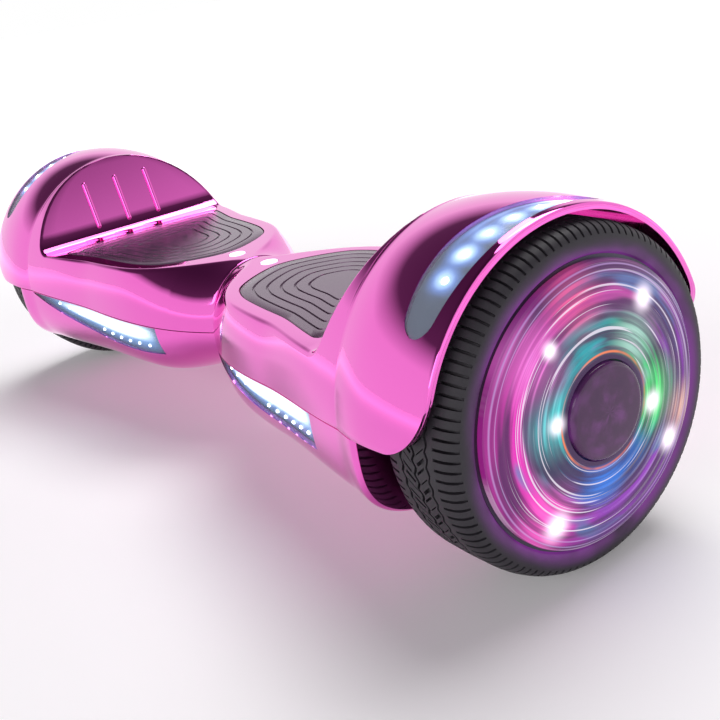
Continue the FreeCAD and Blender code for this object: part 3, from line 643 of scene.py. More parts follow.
# %% Cut the top shell
SKIRT_CORNER = 30.0
PLUNGERS = [(x, y) for x in (100.0, 158.0) for y in (-20.0, 20.0)]
centre_x = FENDER_OUT - SKIRT_CORNER
centre_z = seam_at(centre_x) + SKIRT_CORNER
corner_cut = [(centre_x + SKIRT_CORNER * math.sin(a), centre_z - SKIRT_CORNER * math.cos(a))
              for a in (math.pi / 2.0 * i / 24.0 for i in range(25))]
corner_cut += [(FENDER_OUT + 5.0, centre_z), (FENDER_OUT + 5.0, centre_z - 45.0)]
corner_cut += [(centre_x, centre_z - 45.0)]
wheel_well = prism("well", disc(0.0, AXLE_Z, WELL_RADIUS, 192), "X", WELL_WALL_OUT, FENDER_OUT + 5.0)
cuts = [
    hollow,
    prism("corner", corner_cut, "Y", -120.0, 120.0),
    wheel_well,
    prism("axle_hole", disc(0.0, AXLE_Z, 13.5, 48), "X", WELL_WALL_IN - 2.0, WELL_WALL_OUT + 2.0),
    prism("pocket", pad_outline(0.0), "Z", POCKET_FLOOR, DECK_HEIGHT + 2.0),
    post(21.0, 0.0, DECK_HEIGHT - 3.2, DECK_HEIGHT + 2.0, 5.9),
    slab("recess", crescent_grid(-1.5, 0.3), crescent_grid(2.4, 0.3)),
]
cuts += [post(x, y, DECK_UNDERSIDE - 2.0, DECK_HEIGHT, 3.9) for x, y in PLUNGERS]
carve(left_top, cuts)
right_top = mirrored(left_top, "right_top_shell")
hand_over(left_top, chrome, "left_half", "cover", "left_top_cover")
hand_over(right_top, chrome, "right_half", "cover", "right_top_cover")

# %% [markdown]
# ## The bottom covers
# The lower shells mirror each other in form, but their headlight windows both point the same way
# along the board, so each one is cut for itself. The right one also holds the charging socket and
# the power button.

# %% Outline of a headlight window


def light_span(share, blunt, tip, grow):
    """(x, low z, high z) of a headlight at a share of its length from its blunt end."""
    way = 1.0 if tip > blunt else -1.0
    start, end = blunt - way * grow, tip + way * 4.0 * grow
    x = start + (end - start) * share
    high = seam_at(x) - 1.0 + min(grow, 0.3)
    low = seam_at(x) - 20.5 - grow - 10.6 * share + 30.1 * share * share
    return x, min(low, high), high


def light_grid(blunt, tip, inset, grow, columns=44, rows=8):
    grid = []
    for i in range(columns + 1):
        x, low, high = light_span(i / columns, blunt, tip, grow)
        heights = [low + (high - low) * j / rows for j in range(rows + 1)]
        grid.append([(x, -half_depth(x, z, inset), z) for z in heights])
    return grid


HEADLIGHTS = {"left": (182.0, 30.0), "right": (48.0, 210.0)}
print("headlights:", HEADLIGHTS)

# %% [markdown]
# The lower shells use the same section rule, from the seam down. Each is skinned, then cut by its
# hollow, the axle hole, its headlight window and the six screw holes.

# %% Skin and cut the lower shells


def bottom_row(x, inset, seam):
    first = angle_at(x, seam, inset)
    count = 44
    side = []
    for i in range(count + 1):
        angle = first + (-math.pi / 2.0 - first) * i / count
        side.append(section_point(x, angle, inset))
    if inset < 2.0:
        side = [(side[0][0] - 0.5, seam), (side[0][0] - 0.12, seam - 0.14)] + side[1:]
    other = [(-y, z) for y, z in reversed(side[:-1])]
    return [(x, y, z) for y, z in side + other]


def bottom_shell(name, blunt, tip):
    rows = [(JOINT_GAP, 1.0), (JOINT_GAP + 0.3, 0.3), (JOINT_GAP + 1.0, 0.0)]
    rows += [(3.5 + 4.4 * i, 0.0) for i in range(51)] + [(WELL_WALL_OUT - 4.0, 0.0)]
    for angle in (20.0, 40.0, 60.0, 80.0, 90.0):
        turn = math.radians(angle)
        rows.append((WELL_WALL_OUT - 4.0 + 4.0 * math.sin(turn), 4.0 - 4.0 * math.cos(turn)))
    rows = [row for row in rows if row[0] <= WELL_WALL_OUT]
    rings = [bottom_row(x, min(inset, 1.99), seam_at(x) - SEAM_GAP) for x, inset in rows]
    shell = skin(name, rings)
    inner = [JOINT_GAP - 2.0] + [4.0 + 5.0 * i for i in range(45)] + [WELL_WALL_IN]
    space = skin("space", [bottom_row(x, WALL, seam_at(x) + 5.0) for x in inner])
    cuts = [
        space,
        prism("axle_hole", disc(0.0, AXLE_Z, 13.5, 48), "X", WELL_WALL_IN - 2.0, WELL_WALL_OUT + 2.0),
        slab("window", light_grid(blunt, tip, -1.5, 0.3), light_grid(blunt, tip, 4.0, 0.3)),
    ]
    screws = [(66.0, 34.0), (205.0, 30.0), (138.0, 34.0)]
    cuts += [post(x, y * side, 20.0, 40.0, 4.2) for x, y in screws for side in (-1.0, 1.0)]
    return carve(shell, cuts)


left_bottom = bottom_shell("left_bottom_shell", *HEADLIGHTS["left"])
right_bottom = bottom_shell("right_bottom_shell", *HEADLIGHTS["right"])
reshape(right_bottom, lambda place: Vector((-place.x, place.y, place.z)))
socket_low, socket_high = low_high("charge_socket")
button_low, button_high = low_high("power_button")
socket = ((socket_low.x + socket_high.x) / 2.0, (socket_low.y + socket_high.y) / 2.0)
button = ((button_low.x + button_high.x) / 2.0, (button_low.y + button_high.y) / 2.0)
carve(right_bottom, [post(*socket, 20.0, 45.0, 12.4), post(*button, 20.0, 45.0, 7.4)])
hand_over(left_bottom, chrome, "left_half", "cover", "left_bottom_cover")
hand_over(right_bottom, chrome, "right_half", "cover", "right_bottom_cover")
print("socket at", socket, "button at", button)

# %% [markdown]
# ## Repeats with Geometry Nodes
# Ribs, LED domes, the tyre's sectors and the fender's bead all repeat or follow a path. One small
# class builds such a tree, and its `grow` runs it and keeps the result as a plain mesh. The
# tree ends in Realize Instances and Set Material, so nothing is left as an instance.

# %% Build and bake a node tree


class Grower:
    """A Geometry Nodes tree with named number inputs."""

    def __init__(self, name, **sizes):
        self.tree = bpy.data.node_groups.new(name, "GeometryNodeTree")
        self.sizes = sizes
        face = self.tree.interface
        face.new_socket("Geometry", in_out="INPUT", socket_type="NodeSocketGeometry")
        for key, value in sizes.items():
            kind = "NodeSocketInt" if isinstance(value, int) else "NodeSocketFloat"
            face.new_socket(key, in_out="INPUT", socket_type=kind)
        face.new_socket("Geometry", in_out="OUTPUT", socket_type="NodeSocketGeometry")
        self.start = self.tree.nodes.new("NodeGroupInput")

    def given(self, name):
        return self.start.outputs[name]

    def node(self, kind, settings=None, **links):
        node = self.tree.nodes.new(kind)
        for key, value in (settings or {}).items():
            setattr(node, key, value)
        for key, value in links.items():
            socket = node.inputs[int(key[1:])] if key[0] == "_" else node.inputs[key.replace("_", " ")]
            if isinstance(value, bpy.types.NodeSocket):
                self.tree.links.new(value, socket)
            else:
                socket.default_value = value
        return node.outputs[0]

    def grow(self, name, base, finish, weld=0.0):
        """Runs the tree on a base object and returns the baked piece."""
        last = self.node("GeometryNodeRealizeInstances", Geometry=self.result)
        if weld > 0.0:
            last = self.node("GeometryNodeMergeByDistance", Geometry=last, Distance=weld)
        last = self.node("GeometryNodeSetMaterial", Geometry=last, Material=finish.material)
        end = self.tree.nodes.new("NodeGroupOutput")
        self.tree.links.new(last, end.inputs[0])
        step = base.modifiers.new("grow", "NODES")
        step.node_group = self.tree
        for item in self.tree.interface.items_tree:
            if item.in_out == "INPUT" and item.name in self.sizes:
                step[item.identifier] = self.sizes[item.name]
        base.name = name
        settle(base)
        work = bmesh.new()
        work.from_mesh(base.data)
        bmesh.ops.recalc_face_normals(work, faces=work.faces)
        work.to_mesh(base.data)
        work.free()
        return base


def points_piece(name, places):
    """Loose points in millimetres, for instances to stand on."""
    mesh = bpy.data.meshes.new(name)
    mesh.from_pydata([Vector(p) * MM for p in places], [], [])
    piece = bpy.data.objects.new(name, mesh)
    bpy.context.scene.collection.objects.link(piece)
    return piece


print("growers ready")

# %% [markdown]
# ## The fender's lip
# Plating builds up on a thin edge, and the real lip is rolled over, so it shows as a bright line
# round the wheel arch. It follows a path, so a curve with a round profile makes it.

# %% A bead along the lip
lip = []
lip_x, lip_radius = FENDER_OUT - 1.5, (WELL_RADIUS + fender_radius(FENDER_OUT)) / 2.0
low_angle = math.asin((centre_z - AXLE_Z) / lip_radius)
for i in range(121):
    angle = low_angle + (math.pi - 2.0 * low_angle) * i / 120.0
    lip.append((lip_x, lip_radius * math.cos(angle), AXLE_Z + lip_radius * math.sin(angle)))
down = []
for i in range(1, 15):
    turn = math.radians(80.0) * i / 14.0
    z = centre_z - (SKIRT_CORNER - 1.4) * math.sin(turn)
    across = math.sqrt(lip_radius ** 2 - (z - AXLE_Z) ** 2)
    down.append((centre_x + (SKIRT_CORNER - 1.4) * math.cos(turn), across, z))
lip = list(reversed(down)) + lip + [(x, -y, z) for x, y, z in down]


def path_piece(name, places):
    """An open chain of edges through points in millimetres."""
    mesh = bpy.data.meshes.new(name)
    links = [(i, i + 1) for i in range(len(places) - 1)]
    mesh.from_pydata([Vector(p) * MM for p in places], links, [])
    piece = bpy.data.objects.new(name, mesh)
    bpy.context.scene.collection.objects.link(piece)
    return piece


bead = Grower("lip_bead", Thickness=0.0016)
curve = bead.node("GeometryNodeMeshToCurve", Mesh=bead.given("Geometry"))
ring = bead.node("GeometryNodeCurvePrimitiveCircle", Resolution=10, Radius=bead.given("Thickness"))
bead.result = bead.node("GeometryNodeCurveToMesh", Curve=curve, Profile_Curve=ring, Fill_Caps=True)
left_lip = bead.grow("left_lip", path_piece("lip", lip), chrome, weld=1e-6)
right_lip = mirrored(left_lip, "right_lip")
hand_over(left_lip, chrome, "left_half", "cover", crease=80.0)
hand_over(right_lip, chrome, "right_half", "cover", crease=80.0)

# %% [markdown]
# ## Ribs on the wall
# Three slim ribs stand on the sloping wall beside each deck, to stop a shoe from sliding. They are
# equal, so one rounded bar is instanced on three points and leaned back with the wall.

# %% Three ribs a side
wall_lean = math.atan2(CREASE_X - WALL_FOOT_X, AXLE_Z + FENDER_RADIUS - DECK_HEIGHT)
rib_middle_z = DECK_HEIGHT + 25.0
rib_x = WALL_FOOT_X + (rib_middle_z - DECK_HEIGHT) * math.tan(wall_lean)
ribs = Grower("wall_ribs", Length=0.034, Thickness=0.0017)
bar = ribs.node("GeometryNodeMeshCylinder", Vertices=14, Radius=ribs.given("Thickness"),
                Depth=ribs.given("Length"))
knob = ribs.node("GeometryNodeMeshUVSphere", Segments=14, Rings=8, Radius=ribs.given("Thickness"))
half = ribs.node("ShaderNodeMath", {"operation": "MULTIPLY"}, _0=ribs.given("Length"), _1=0.5)
high = ribs.node("ShaderNodeCombineXYZ", Z=half)
low = ribs.node("ShaderNodeVectorMath", {"operation": "SCALE"}, _0=high, Scale=-1.0)
both = ribs.node("GeometryNodeJoinGeometry")
join = ribs.tree.nodes[-1]
for end in (high, low):
    placed = ribs.node("GeometryNodeTransform", Geometry=knob, Translation=end)
    ribs.tree.links.new(placed, join.inputs[0])
ribs.tree.links.new(bar, join.inputs[0])
ribs.result = ribs.node("GeometryNodeInstanceOnPoints", Points=ribs.given("Geometry"), Instance=both,
                        Rotation=(0.0, wall_lean, 0.0))
rib_places = [(rib_x - 0.5, y, rib_middle_z) for y in (-26.0, 0.0, 26.0)]
left_ribs = ribs.grow("left_wall_ribs", points_piece("rib_points", rib_places), chrome)
right_ribs = mirrored(left_ribs, "right_wall_ribs")
hand_over(left_ribs, chrome, "left_half", "cover")
hand_over(right_ribs, chrome, "right_half", "cover")

# %% [markdown]
# ## Headlights
# A clear lens follows the body's surface. Behind it a tray holds a strip of white LEDs in a
# blue-white light guide, brightest in the middle. The lens is glassy with a faint tint, and the
# glow is emission on the tray, worked out from its own UV map: u runs along it, v across.

# %% Lens and light-guide finishes
lens = Finish("clear_lens", IOR=1.4, Coat_Weight=0.3, Coat_Roughness=0.02)
lens.set("Base Color", lens.mix(lens.noise(30.0), (0.72, 0.86, 1.0), (0.80, 0.92, 1.0)))
lens.set("Roughness", 0.05 + lens.noise(60.0) * 0.05)
lens.set("Alpha", 0.09 + lens.noise(20.0) * 0.03)

guide = Finish("headlight_guide", Emission_Strength=1.0, Roughness=0.3)
uv = guide.node("ShaderNodeTexCoord", {}).out("UV")
along = guide.node("ShaderNodeSeparateXYZ", {}, uv)
u, v = along.out("X"), along.out("Y")
streak_at = guide.node("ShaderNodeMapping", {}, Vector=uv, Scale=(3.0, 26.0, 1.0)).out(0)
streaks = guide.noise(1.0, 2.0, streak_at)
middle = v.line(0.52 + u * 0.16, 0.34) * u.above(0.16, 0.30) * (1.0 - u.above(0.80, 0.18))
glow = (middle * (0.55 + streaks * 0.9)).clamped()
halo = v.line(0.5, 0.62) * u.above(0.02, 0.3) * (1.0 - u.above(0.9, 0.1))
shade = guide.mix(halo, (0.010, 0.022, 0.075), (0.06, 0.26, 0.62))
shade = guide.mix(glow, shade, (0.75, 0.96, 1.0))
guide.set("Base Color", guide.mix(halo, (0.01, 0.02, 0.05), (0.10, 0.16, 0.28)))
guide.set("Emission Color", guide.mix(glow, shade, (2.6, 3.0, 3.2)))

led = Finish("white_led", Emission_Strength=4.0, Roughness=0.25)
led.set("Base Color", led.mix(led.noise(300.0), (0.80, 0.90, 1.0), (0.95, 0.98, 1.0)))
led.set("Emission Color", led.mix(led.noise(80.0), (0.72, 0.92, 1.0), (0.92, 0.98, 1.0)))
print(lens.material.name, guide.material.name, led.material.name)


def add_uv(piece, corner_uv):
    """A UV map from a function of each vertex's place, in millimetres."""
    layer = piece.data.uv_layers.new(name="along")
    for loop in piece.data.loops:
        layer.data[loop.index].uv = corner_uv(piece.data.vertices[loop.vertex_index].co / MM)


# %% [markdown]
# Lens and tray are slabs between two copies of the window's grid, one deeper than the other, so
# both follow the body's surface. The tray's UV map runs the same way on both halves.

# %% Lenses and trays
for side, (blunt, tip) in HEADLIGHTS.items():
    flip = 1.0 if side == "left" else -1.0
    body = side + "_half"
    cover = slab(side + "_headlight", light_grid(blunt, tip, 0.4, 0.0), light_grid(blunt, tip, 1.7, 0.0))
    tray = slab(side + "_headlight_tray", light_grid(blunt, tip, 3.4, 1.0),
                light_grid(blunt, tip, 4.4, 1.0))

    def tray_uv(place, blunt=blunt, tip=tip):
        share = (place.x - blunt) / (tip - blunt)
        _, low_z, high_z = light_span(min(1.0, max(0.0, share)), blunt, tip, 1.0)
        return 1.0 - share, (place.z - low_z) / max(3.0, high_z - low_z)

    add_uv(tray, tray_uv)
    if side == "right":
        for piece in (cover, tray):
            reshape(piece, lambda place: Vector((-place.x, place.y, place.z)))
    hand_over(cover, lens, body, "lens", side + "_headlight_lens")
    hand_over(tray, guide, body, "board", side + "_headlight_board")

# %% [markdown]
# The LEDs themselves are small domes. A few show through the lens, near its pointed end and along
# its lower edge, so one low dome is instanced where they sit.

# %% LED domes


def dome_grower(name, radius):
    """Small spheres on every point of the base, each of a few dozen faces."""
    domes = Grower(name, Radius=radius)
    ball = domes.node("GeometryNodeMeshUVSphere", Segments=12, Rings=8, Radius=domes.given("Radius"))
    domes.result = domes.node("GeometryNodeInstanceOnPoints", Points=domes.given("Geometry"),
                              Instance=ball)
    return domes


def light_spot(blunt, tip, share, height, inset):
    x, low_z, high_z = light_span(share, blunt, tip, 0.0)
    z = low_z + (high_z - low_z) * height
    return x, -half_depth(x, z, inset), z


light_leds = [(0.80, 0.50), (0.72, 0.50), (0.64, 0.44), (0.10, 0.20), (0.17, 0.20), (0.24, 0.18),
              (0.31, 0.17), (0.38, 0.17), (0.45, 0.18)]
for side, (blunt, tip) in HEADLIGHTS.items():
    spots = [light_spot(blunt, tip, share, height, 3.3) for share, height in light_leds]
    leds = dome_grower("headlight_leds", 0.0011).grow(side + "_headlight_leds",
                                                     points_piece("spots", spots), led)
    if side == "right":
        reshape(leds, lambda place: Vector((-place.x, place.y, place.z)))
    hand_over(leds, led, side + "_half", "board")

# %% [markdown]
# ## Crescent lights on the fenders
# A crescent-shaped lens sits flush in the fender's front shoulder, wide at the front and drawn to
# a point over the top. Under it a dark blue board carries a row of bright white LEDs. The glow
# round them is painted from the board's UV map, because the light really comes from a diffuser
# sheet that has no shape of its own.

# %% Board glow, lens, and a row of LEDs
crescent_glow = Finish("crescent_guide", Emission_Strength=1.0, Roughness=0.35)
uv = crescent_glow.node("ShaderNodeTexCoord", {}).out("UV")
parts = crescent_glow.node("ShaderNodeSeparateXYZ", {}, uv)
u, v = parts.out("X"), parts.out("Y")
near_leds = v.line(0.45, 0.42) * u.above(0.12, 0.22) * (1.0 - u.above(0.62, 0.30))
top_glow = u.above(0.72, 0.12) * (1.0 - u.above(0.93, 0.06))
inner_edge = v.line(0.08, 0.16) * u.above(0.30, 0.25)
LED_HEIGHTS = (-23.0, -8.5, 6.0, 20.0, 33.0, 45.0)
halos = None
for led_height in LED_HEIGHTS:
    halo = u.line((led_height + CRESCENT_LOW) / (CRESCENT_LOW + CRESCENT_TOP), 0.075) * v.line(0.54, 0.55)
    halos = halo if halos is None else halos + halo
light = near_leds * 0.38 + top_glow * 0.70 + inner_edge * 0.45 + halos * 0.75
light = light * (0.75 + crescent_glow.noise(60.0) * 0.5)
tint = crescent_glow.ramp(light, [(0.0, (0.020, 0.026, 0.050)), (0.4, (0.08, 0.18, 0.55)),
                                  (0.75, (0.42, 0.66, 1.0)), (1.0, (1.0, 1.1, 1.2))])
crescent_glow.set("Emission Color", tint)
crescent_glow.set("Base Color", crescent_glow.mix(light, (0.03, 0.035, 0.06), (0.20, 0.28, 0.45)))


def crescent_uv(place):
    v = (place.y * math.sin(CRESCENT_TILT) + (place.z - AXLE_Z) * math.cos(CRESCENT_TILT))
    inner, outer = crescent_span(v, 0.0)
    share = (v + CRESCENT_LOW) / (CRESCENT_LOW + CRESCENT_TOP)
    return share, (place.x - inner) / max(2.0, outer - inner)


def crescent_spot(v, share, inset):
    inner, outer = crescent_span(v, 0.0)
    x = inner + (outer - inner) * share
    radius = fender_radius(x) - inset
    angle = CRESCENT_TILT + math.asin(v / radius)
    return x, -radius * math.cos(angle), AXLE_Z + radius * math.sin(angle)


crescent_lens = slab("left_fender_light", crescent_grid(0.1, 0.0), crescent_grid(0.9, 0.0))
crescent_board = slab("left_fender_tray", crescent_grid(1.9, 0.1), crescent_grid(2.3, 0.1))
add_uv(crescent_board, crescent_uv)
row = [crescent_spot(v, 0.54 - 0.001 * v, 1.75) for v in LED_HEIGHTS]
crescent_leds = dome_grower("fender_leds", 0.0019)
crescent_leds = crescent_leds.grow("left_fender_leds", points_piece("spots", row), led)
for vert in crescent_leds.data.vertices:
    near = min(row, key=lambda p: (Vector(p) * MM - vert.co).length)
    out = Vector((0.0, near[1], near[2] - AXLE_Z)).normalized()
    rise = (vert.co - Vector(near) * MM).dot(out)
    vert.co -= out * rise * 0.62
right_pieces = [mirrored(crescent_lens, "right_fender_light"),
                mirrored(crescent_board, "right_fender_tray"),
                mirrored(crescent_leds, "right_fender_leds")]
for side, trio in (("left", (crescent_lens, crescent_board, crescent_leds)), ("right", right_pieces)):
    hand_over(trio[0], lens, side + "_half", "lens", side + "_fender_light_lens")
    hand_over(trio[1], crescent_glow, side + "_half", "board", side + "_fender_light_board")
    hand_over(trio[2], led, side + "_half", "board")

# %% [markdown]
# ## Footpads
# Each pad is one moulding of thin rubber. Ring-shaped grooves, each a smaller copy of the pad's
# outline, let it flex over the pressure switches and give grip. The pad is skinned ring by ring
# from its middle, and a groove is two rings that dip. The rubber is a mauve with a pearly sheen,
# slightly worn, and smoother in some patches than in others.

# %% Pad finish
rubber = Finish("pad_rubber", Coat_Roughness=0.25, Coat_IOR=1.4)
grain = rubber.noise(900.0, 2.0)
worn = rubber.noise(16.0, 2.0)
rubber.set("Base Color", rubber.mix(worn, (0.12, 0.065, 0.115), (0.19, 0.105, 0.18)))
rubber.set("Metallic", 0.55 + worn * 0.15)
rubber.set("Roughness", 0.17 + worn * 0.10 + grain * 0.05)
rubber.set("Coat Weight", 0.18 + worn * 0.2)
rubber.bump(grain, 0.10, 0.0002)
print(rubber.material.name)

# %% [markdown]
# Each ring of the pad is its outline drawn towards the middle, and four plungers are joined on
# below, where the pad presses its switches.

# %% Skin a pad with its grooves
pad_edge = pad_outline(0.5)
pad_middle = ((PAD_START_X + PAD_END_X) / 2.0 + 3.0, 0.0)
PAD_TOP = DECK_HEIGHT
PAD_BOTTOM = DECK_HEIGHT - 3.0


def pad_ring(share, z):
    return [(pad_middle[0] + (x - pad_middle[0]) * share, y * share, z) for x, y in pad_edge]


def pad_solid(name):
    steps = [(1.0, PAD_BOTTOM), (1.0, PAD_TOP - 1.1), (0.996, PAD_TOP - 0.4), (0.985, PAD_TOP)]
    for share in (0.87, 0.74, 0.61, 0.48, 0.35):
        steps += [(share + 0.013, PAD_TOP), (share + 0.009, PAD_TOP - 0.9)]
        steps += [(share - 0.009, PAD_TOP - 0.9), (share - 0.013, PAD_TOP)]
    steps += [(0.18, PAD_TOP), (0.05, PAD_TOP)]
    return skin(name, [pad_ring(share, z) for share, z in steps])


left_pad = pad_solid("pad")
feet = [post(x, y, pad_low.z, PAD_BOTTOM + 1.0, 3.5) for x, y in PLUNGERS]
left_pad = carve(left_pad, feet, "UNION")
left_pad.name = "left_pad_rubber"
right_pad = mirrored(left_pad, "right_pad_rubber")
hand_over(left_pad, rubber, "left_pad", "pad", "left_footpad")
hand_over(right_pad, rubber, "right_pad", "pad", "right_footpad")

# %% [markdown]
# ## Tyres
# The tread repeats every ten degrees, so one sector is modelled and 36 of them are turned round
# the axle and welded. The sector's grid is bent so that its lines run along the grooves: three
# zigzag grooves round the middle, slanted ones between them, and three slits on each shoulder of a
# sector. A displacement texture could cut them too, but would leave their walls ragged.

# %% Tread: where the sector is grooved
SECTORS = 36
SECTOR_ANGLE = 2.0 * math.pi / SECTORS
SLOTS = (1.0 / 6.0, 3.0 / 6.0, 5.0 / 6.0)
SLOT_HALF = 0.036
across = [0.0, 0.6, 0.8, 1.9, 2.1, 4.5, 6.9, 7.1, 8.2, 8.4, 9.4, 9.6, 11.8, 13.1, 13.3, 16.0, 19.0,
          21.3, 22.8, 23.6, 24.2, 24.75, 25.0]
around = [0.0]
for slot in SLOTS:
    around += [slot - SLOT_HALF - 0.012, slot - SLOT_HALF, slot + SLOT_HALF, slot + SLOT_HALF + 0.012]
    around.append(slot + 1.0 / 6.0)
HALF_TYRE = (TYRE_OUT - TYRE_IN) / 2.0
TYRE_MIDDLE = (TYRE_OUT + TYRE_IN) / 2.0


def tyre_drop(s):
    """How far the tread lies under the wheel's full radius, s mm from the middle."""
    s = min(abs(s), HALF_TYRE)
    if s <= 8.0:
        return 0.004 * s * s * 0.5
    share = (s - 8.0) / (HALF_TYRE - 8.0)
    return 0.13 + 11.3 * (1.0 - (1.0 - share ** 2.9) ** (1.0 / 2.9))


def groove_depth(share, s):
    """Depth of the tread's grooves at a share of the sector and s mm from the middle."""
    s = abs(s)
    if s <= 0.6 or 8.4 <= s <= 9.4:
        return 2.4
    if min(abs(share - slot) for slot in SLOTS) > SLOT_HALF + 0.001:
        return 0.0
    if 2.1 <= s <= 6.9:
        return 1.8
    if 13.3 <= s <= 23.6:
        return 2.4 - 1.0 * ease(s, 20.0, 23.6)
    return 0.0


def sector_point(share, s, depth):
    bend = 0.5 * min(1.0, abs(s) / 9.0)
    zigzag = 1.1 * (1.0 - 4.0 * abs((2.0 * share) % 1.0 - 0.5)) if abs(s) < 10.5 else 0.0
    zigzag *= 1.0 - 0.25 * (abs(s) > 7.0)
    radius = WHEEL_RADIUS - tyre_drop(s) - depth
    angle = (share + bend) * SECTOR_ANGLE
    return s + zigzag, radius * math.sin(angle), radius * math.cos(angle)


print(f"{len(around) - 1} x {2 * len(across) + 1} faces in a sector")

# %% [markdown]
# The sector's columns run from bead to bead and close along the inside, so that the welded sectors
# make one closed ring. Instances turned round the axle cost nothing until they are made real.

# %% One sector, then the whole tyre
stops = [-s for s in reversed(across[1:])] + across
bead_side = [(25.0, 9.2), (24.9, 11.9), (24.0, 13.6), (22.5, 14.5)]
sector = []
for share in around:
    column = [sector_point(share, s, groove_depth(share, s)) for s in stops[1:-1]]
    angle = (share + 0.5) * SECTOR_ANGLE
    side = [(s, (WHEEL_RADIUS - drop) * math.sin(angle), (WHEEL_RADIUS - drop) * math.cos(angle))
            for s, drop in bead_side]
    column = [(-s, y, z) for s, y, z in reversed(side)] + column + side
    sector.append(column)
count = len(sector[0])
faces = []
for i in range(len(sector) - 1):
    for j in range(count):
        k = (j + 1) % count
        faces.append([i * count + j, i * count + k, (i + 1) * count + k, (i + 1) * count + j])
base = solid("sector", [p for column in sector for p in column], faces)
spin = Grower("tread", Sectors=SECTORS)
spots = spin.node("GeometryNodePoints", Count=spin.given("Sectors"))
index = spin.node("GeometryNodeInputIndex")
turn = spin.node("ShaderNodeMath", {"operation": "DIVIDE"}, _0=index, _1=spin.given("Sectors"))
turn = spin.node("ShaderNodeMath", {"operation": "MULTIPLY"}, _0=turn, _1=2.0 * math.pi)
turn = spin.node("ShaderNodeCombineXYZ", X=turn)
spin.result = spin.node("GeometryNodeInstanceOnPoints", Points=spots, Instance=spin.given("Geometry"),
                        Rotation=turn)

tyre_rubber = Finish("tyre_rubber", Specular_IOR_Level=0.45)
dust = tyre_rubber.noise(45.0, 4.0)
tyre_rubber.set("Base Color", tyre_rubber.mix(dust, (0.012, 0.011, 0.015), (0.034, 0.030, 0.038)))
tyre_rubber.set("Roughness", 0.46 + dust * 0.22)
tyre_rubber.bump(tyre_rubber.noise(1100.0, 2.0), 0.18, 0.0002)
left_tread = spin.grow("left_tread", base, tyre_rubber, weld=2e-6)
reshape(left_tread, lambda p: Vector((p.x + TYRE_MIDDLE * MM, p.y, p.z + AXLE_Z * MM)))
right_tread = mirrored(left_tread, "right_tread")
hand_over(left_tread, tyre_rubber, "left_wheel", "tyre", "left_tyre", crease=30.0)
hand_over(right_tread, tyre_rubber, "right_wheel", "tyre", "right_tyre", crease=30.0)

# %% [markdown]
# ## Lit wheels
# Behind each wheel's clear face, a ring of coloured LEDs is smeared round by moulded rings in the
# plastic, so the colours run in arcs. Both are modelled here: fine rings in the turned face, and
# emission worked out from the distance to the axle and the direction round it. The noise is read
# on a circle's sine and cosine, so it has no seam where the angle wraps round.

# %% The glowing face's finish


def round_axle(finish):
    """Radius in millimetres, and the cosine and sine of the direction round the axle."""
    _, y, z = finish.position()
    y, z = y * 1000.0, z * 1000.0 - AXLE_Z
    radius = (y * y + z * z) ** 0.5
    return radius, y / radius, z / radius


def arcs(finish, radius, cosine, sine, length, fineness, seed, detail=3.0):
    """Noise drawn out into arcs round the axle."""
    vector = finish.node("ShaderNodeCombineXYZ", {}, cosine * length, sine * length,
                         radius * fineness + seed).out(0)
    return finish.noise(1.0, detail, vector)


face = Finish("wheel_face", Roughness=0.12, Coat_Weight=0.35, Coat_Roughness=0.03, Coat_IOR=1.4,
              Specular_IOR_Level=0.25, Emission_Strength=1.0)
radius, cosine, sine = round_axle(face)
back, front = cosine.above(0.0, 0.8), (-cosine).above(0.0, 0.8)
under, over = (-sine).above(0.30, 0.6), sine.above(0.25, 0.6)
hue = arcs(face, radius, cosine, sine, 0.9, 0.07, 3.0, 2.0)
inner_colour = face.mix(back, (0.0, 0.36, 0.40), (0.02, 0.55, 0.16))
inner_colour = face.mix(under, inner_colour, (0.0, 0.12, 0.50))
inner_colour = face.mix(1.0 - hue.above(0.34, 0.10), inner_colour, (0.42, 0.14, 0.66))
shift = arcs(face, radius, cosine, sine, 0.9, 0.06, 17.0, 2.0)
outer_colour = face.mix(front, (0.26, 0.03, 0.46), (0.80, 0.02, 0.46))
outer_colour = face.mix(over, outer_colour, (0.52, 0.05, 0.34))
outer_colour = face.mix(shift.above(0.56, 0.10), outer_colour, (0.08, 0.20, 0.46))
outward = radius.above(39.0, 10.0)
colour = face.mix(outward, inner_colour, outer_colour)
fine = arcs(face, radius, cosine, sine, 0.6, 0.50, 40.0, 4.0)
wide = arcs(face, radius, cosine, sine, 0.9, 0.13, 71.0, 2.0)
white_lines = arcs(face, radius, cosine, sine, 0.6, 0.80, 93.0, 2.0).above(0.62, 0.06)
rim_shade = 1.0 - radius.above(56.0, 8.0) * 0.65
centre_shade = radius.above(24.5, 4.0)
power = (0.08 + fine.above(0.46, 0.22) * 0.45 + wide.above(0.44, 0.18) * 0.70) * rim_shade * centre_shade
shine = face.mix(power.clamped(), (0.032, 0.005, 0.050), colour)
print("arcs of colour ready")

# %% [markdown]
# Over the arcs lie broad glows, each of one colour, and small white hot spots where an LED faces
# the eye. Both fade with the distance from a point of the face. The glows are broken up by the
# same fine arcs, so they look smeared and not sprayed on.

# %% Glows, hot spots and thin rings


def glow_at(spot_radius, degrees, size):
    """One at a point of the face, falling to nought at a distance of size."""
    place_y = spot_radius * math.cos(math.radians(degrees))
    place_z = spot_radius * math.sin(math.radians(degrees))
    away_y, away_z = radius * cosine - place_y, radius * sine - place_z
    return 1.0 - ((away_y * away_y + away_z * away_z) ** 0.5).above(0.0, size)


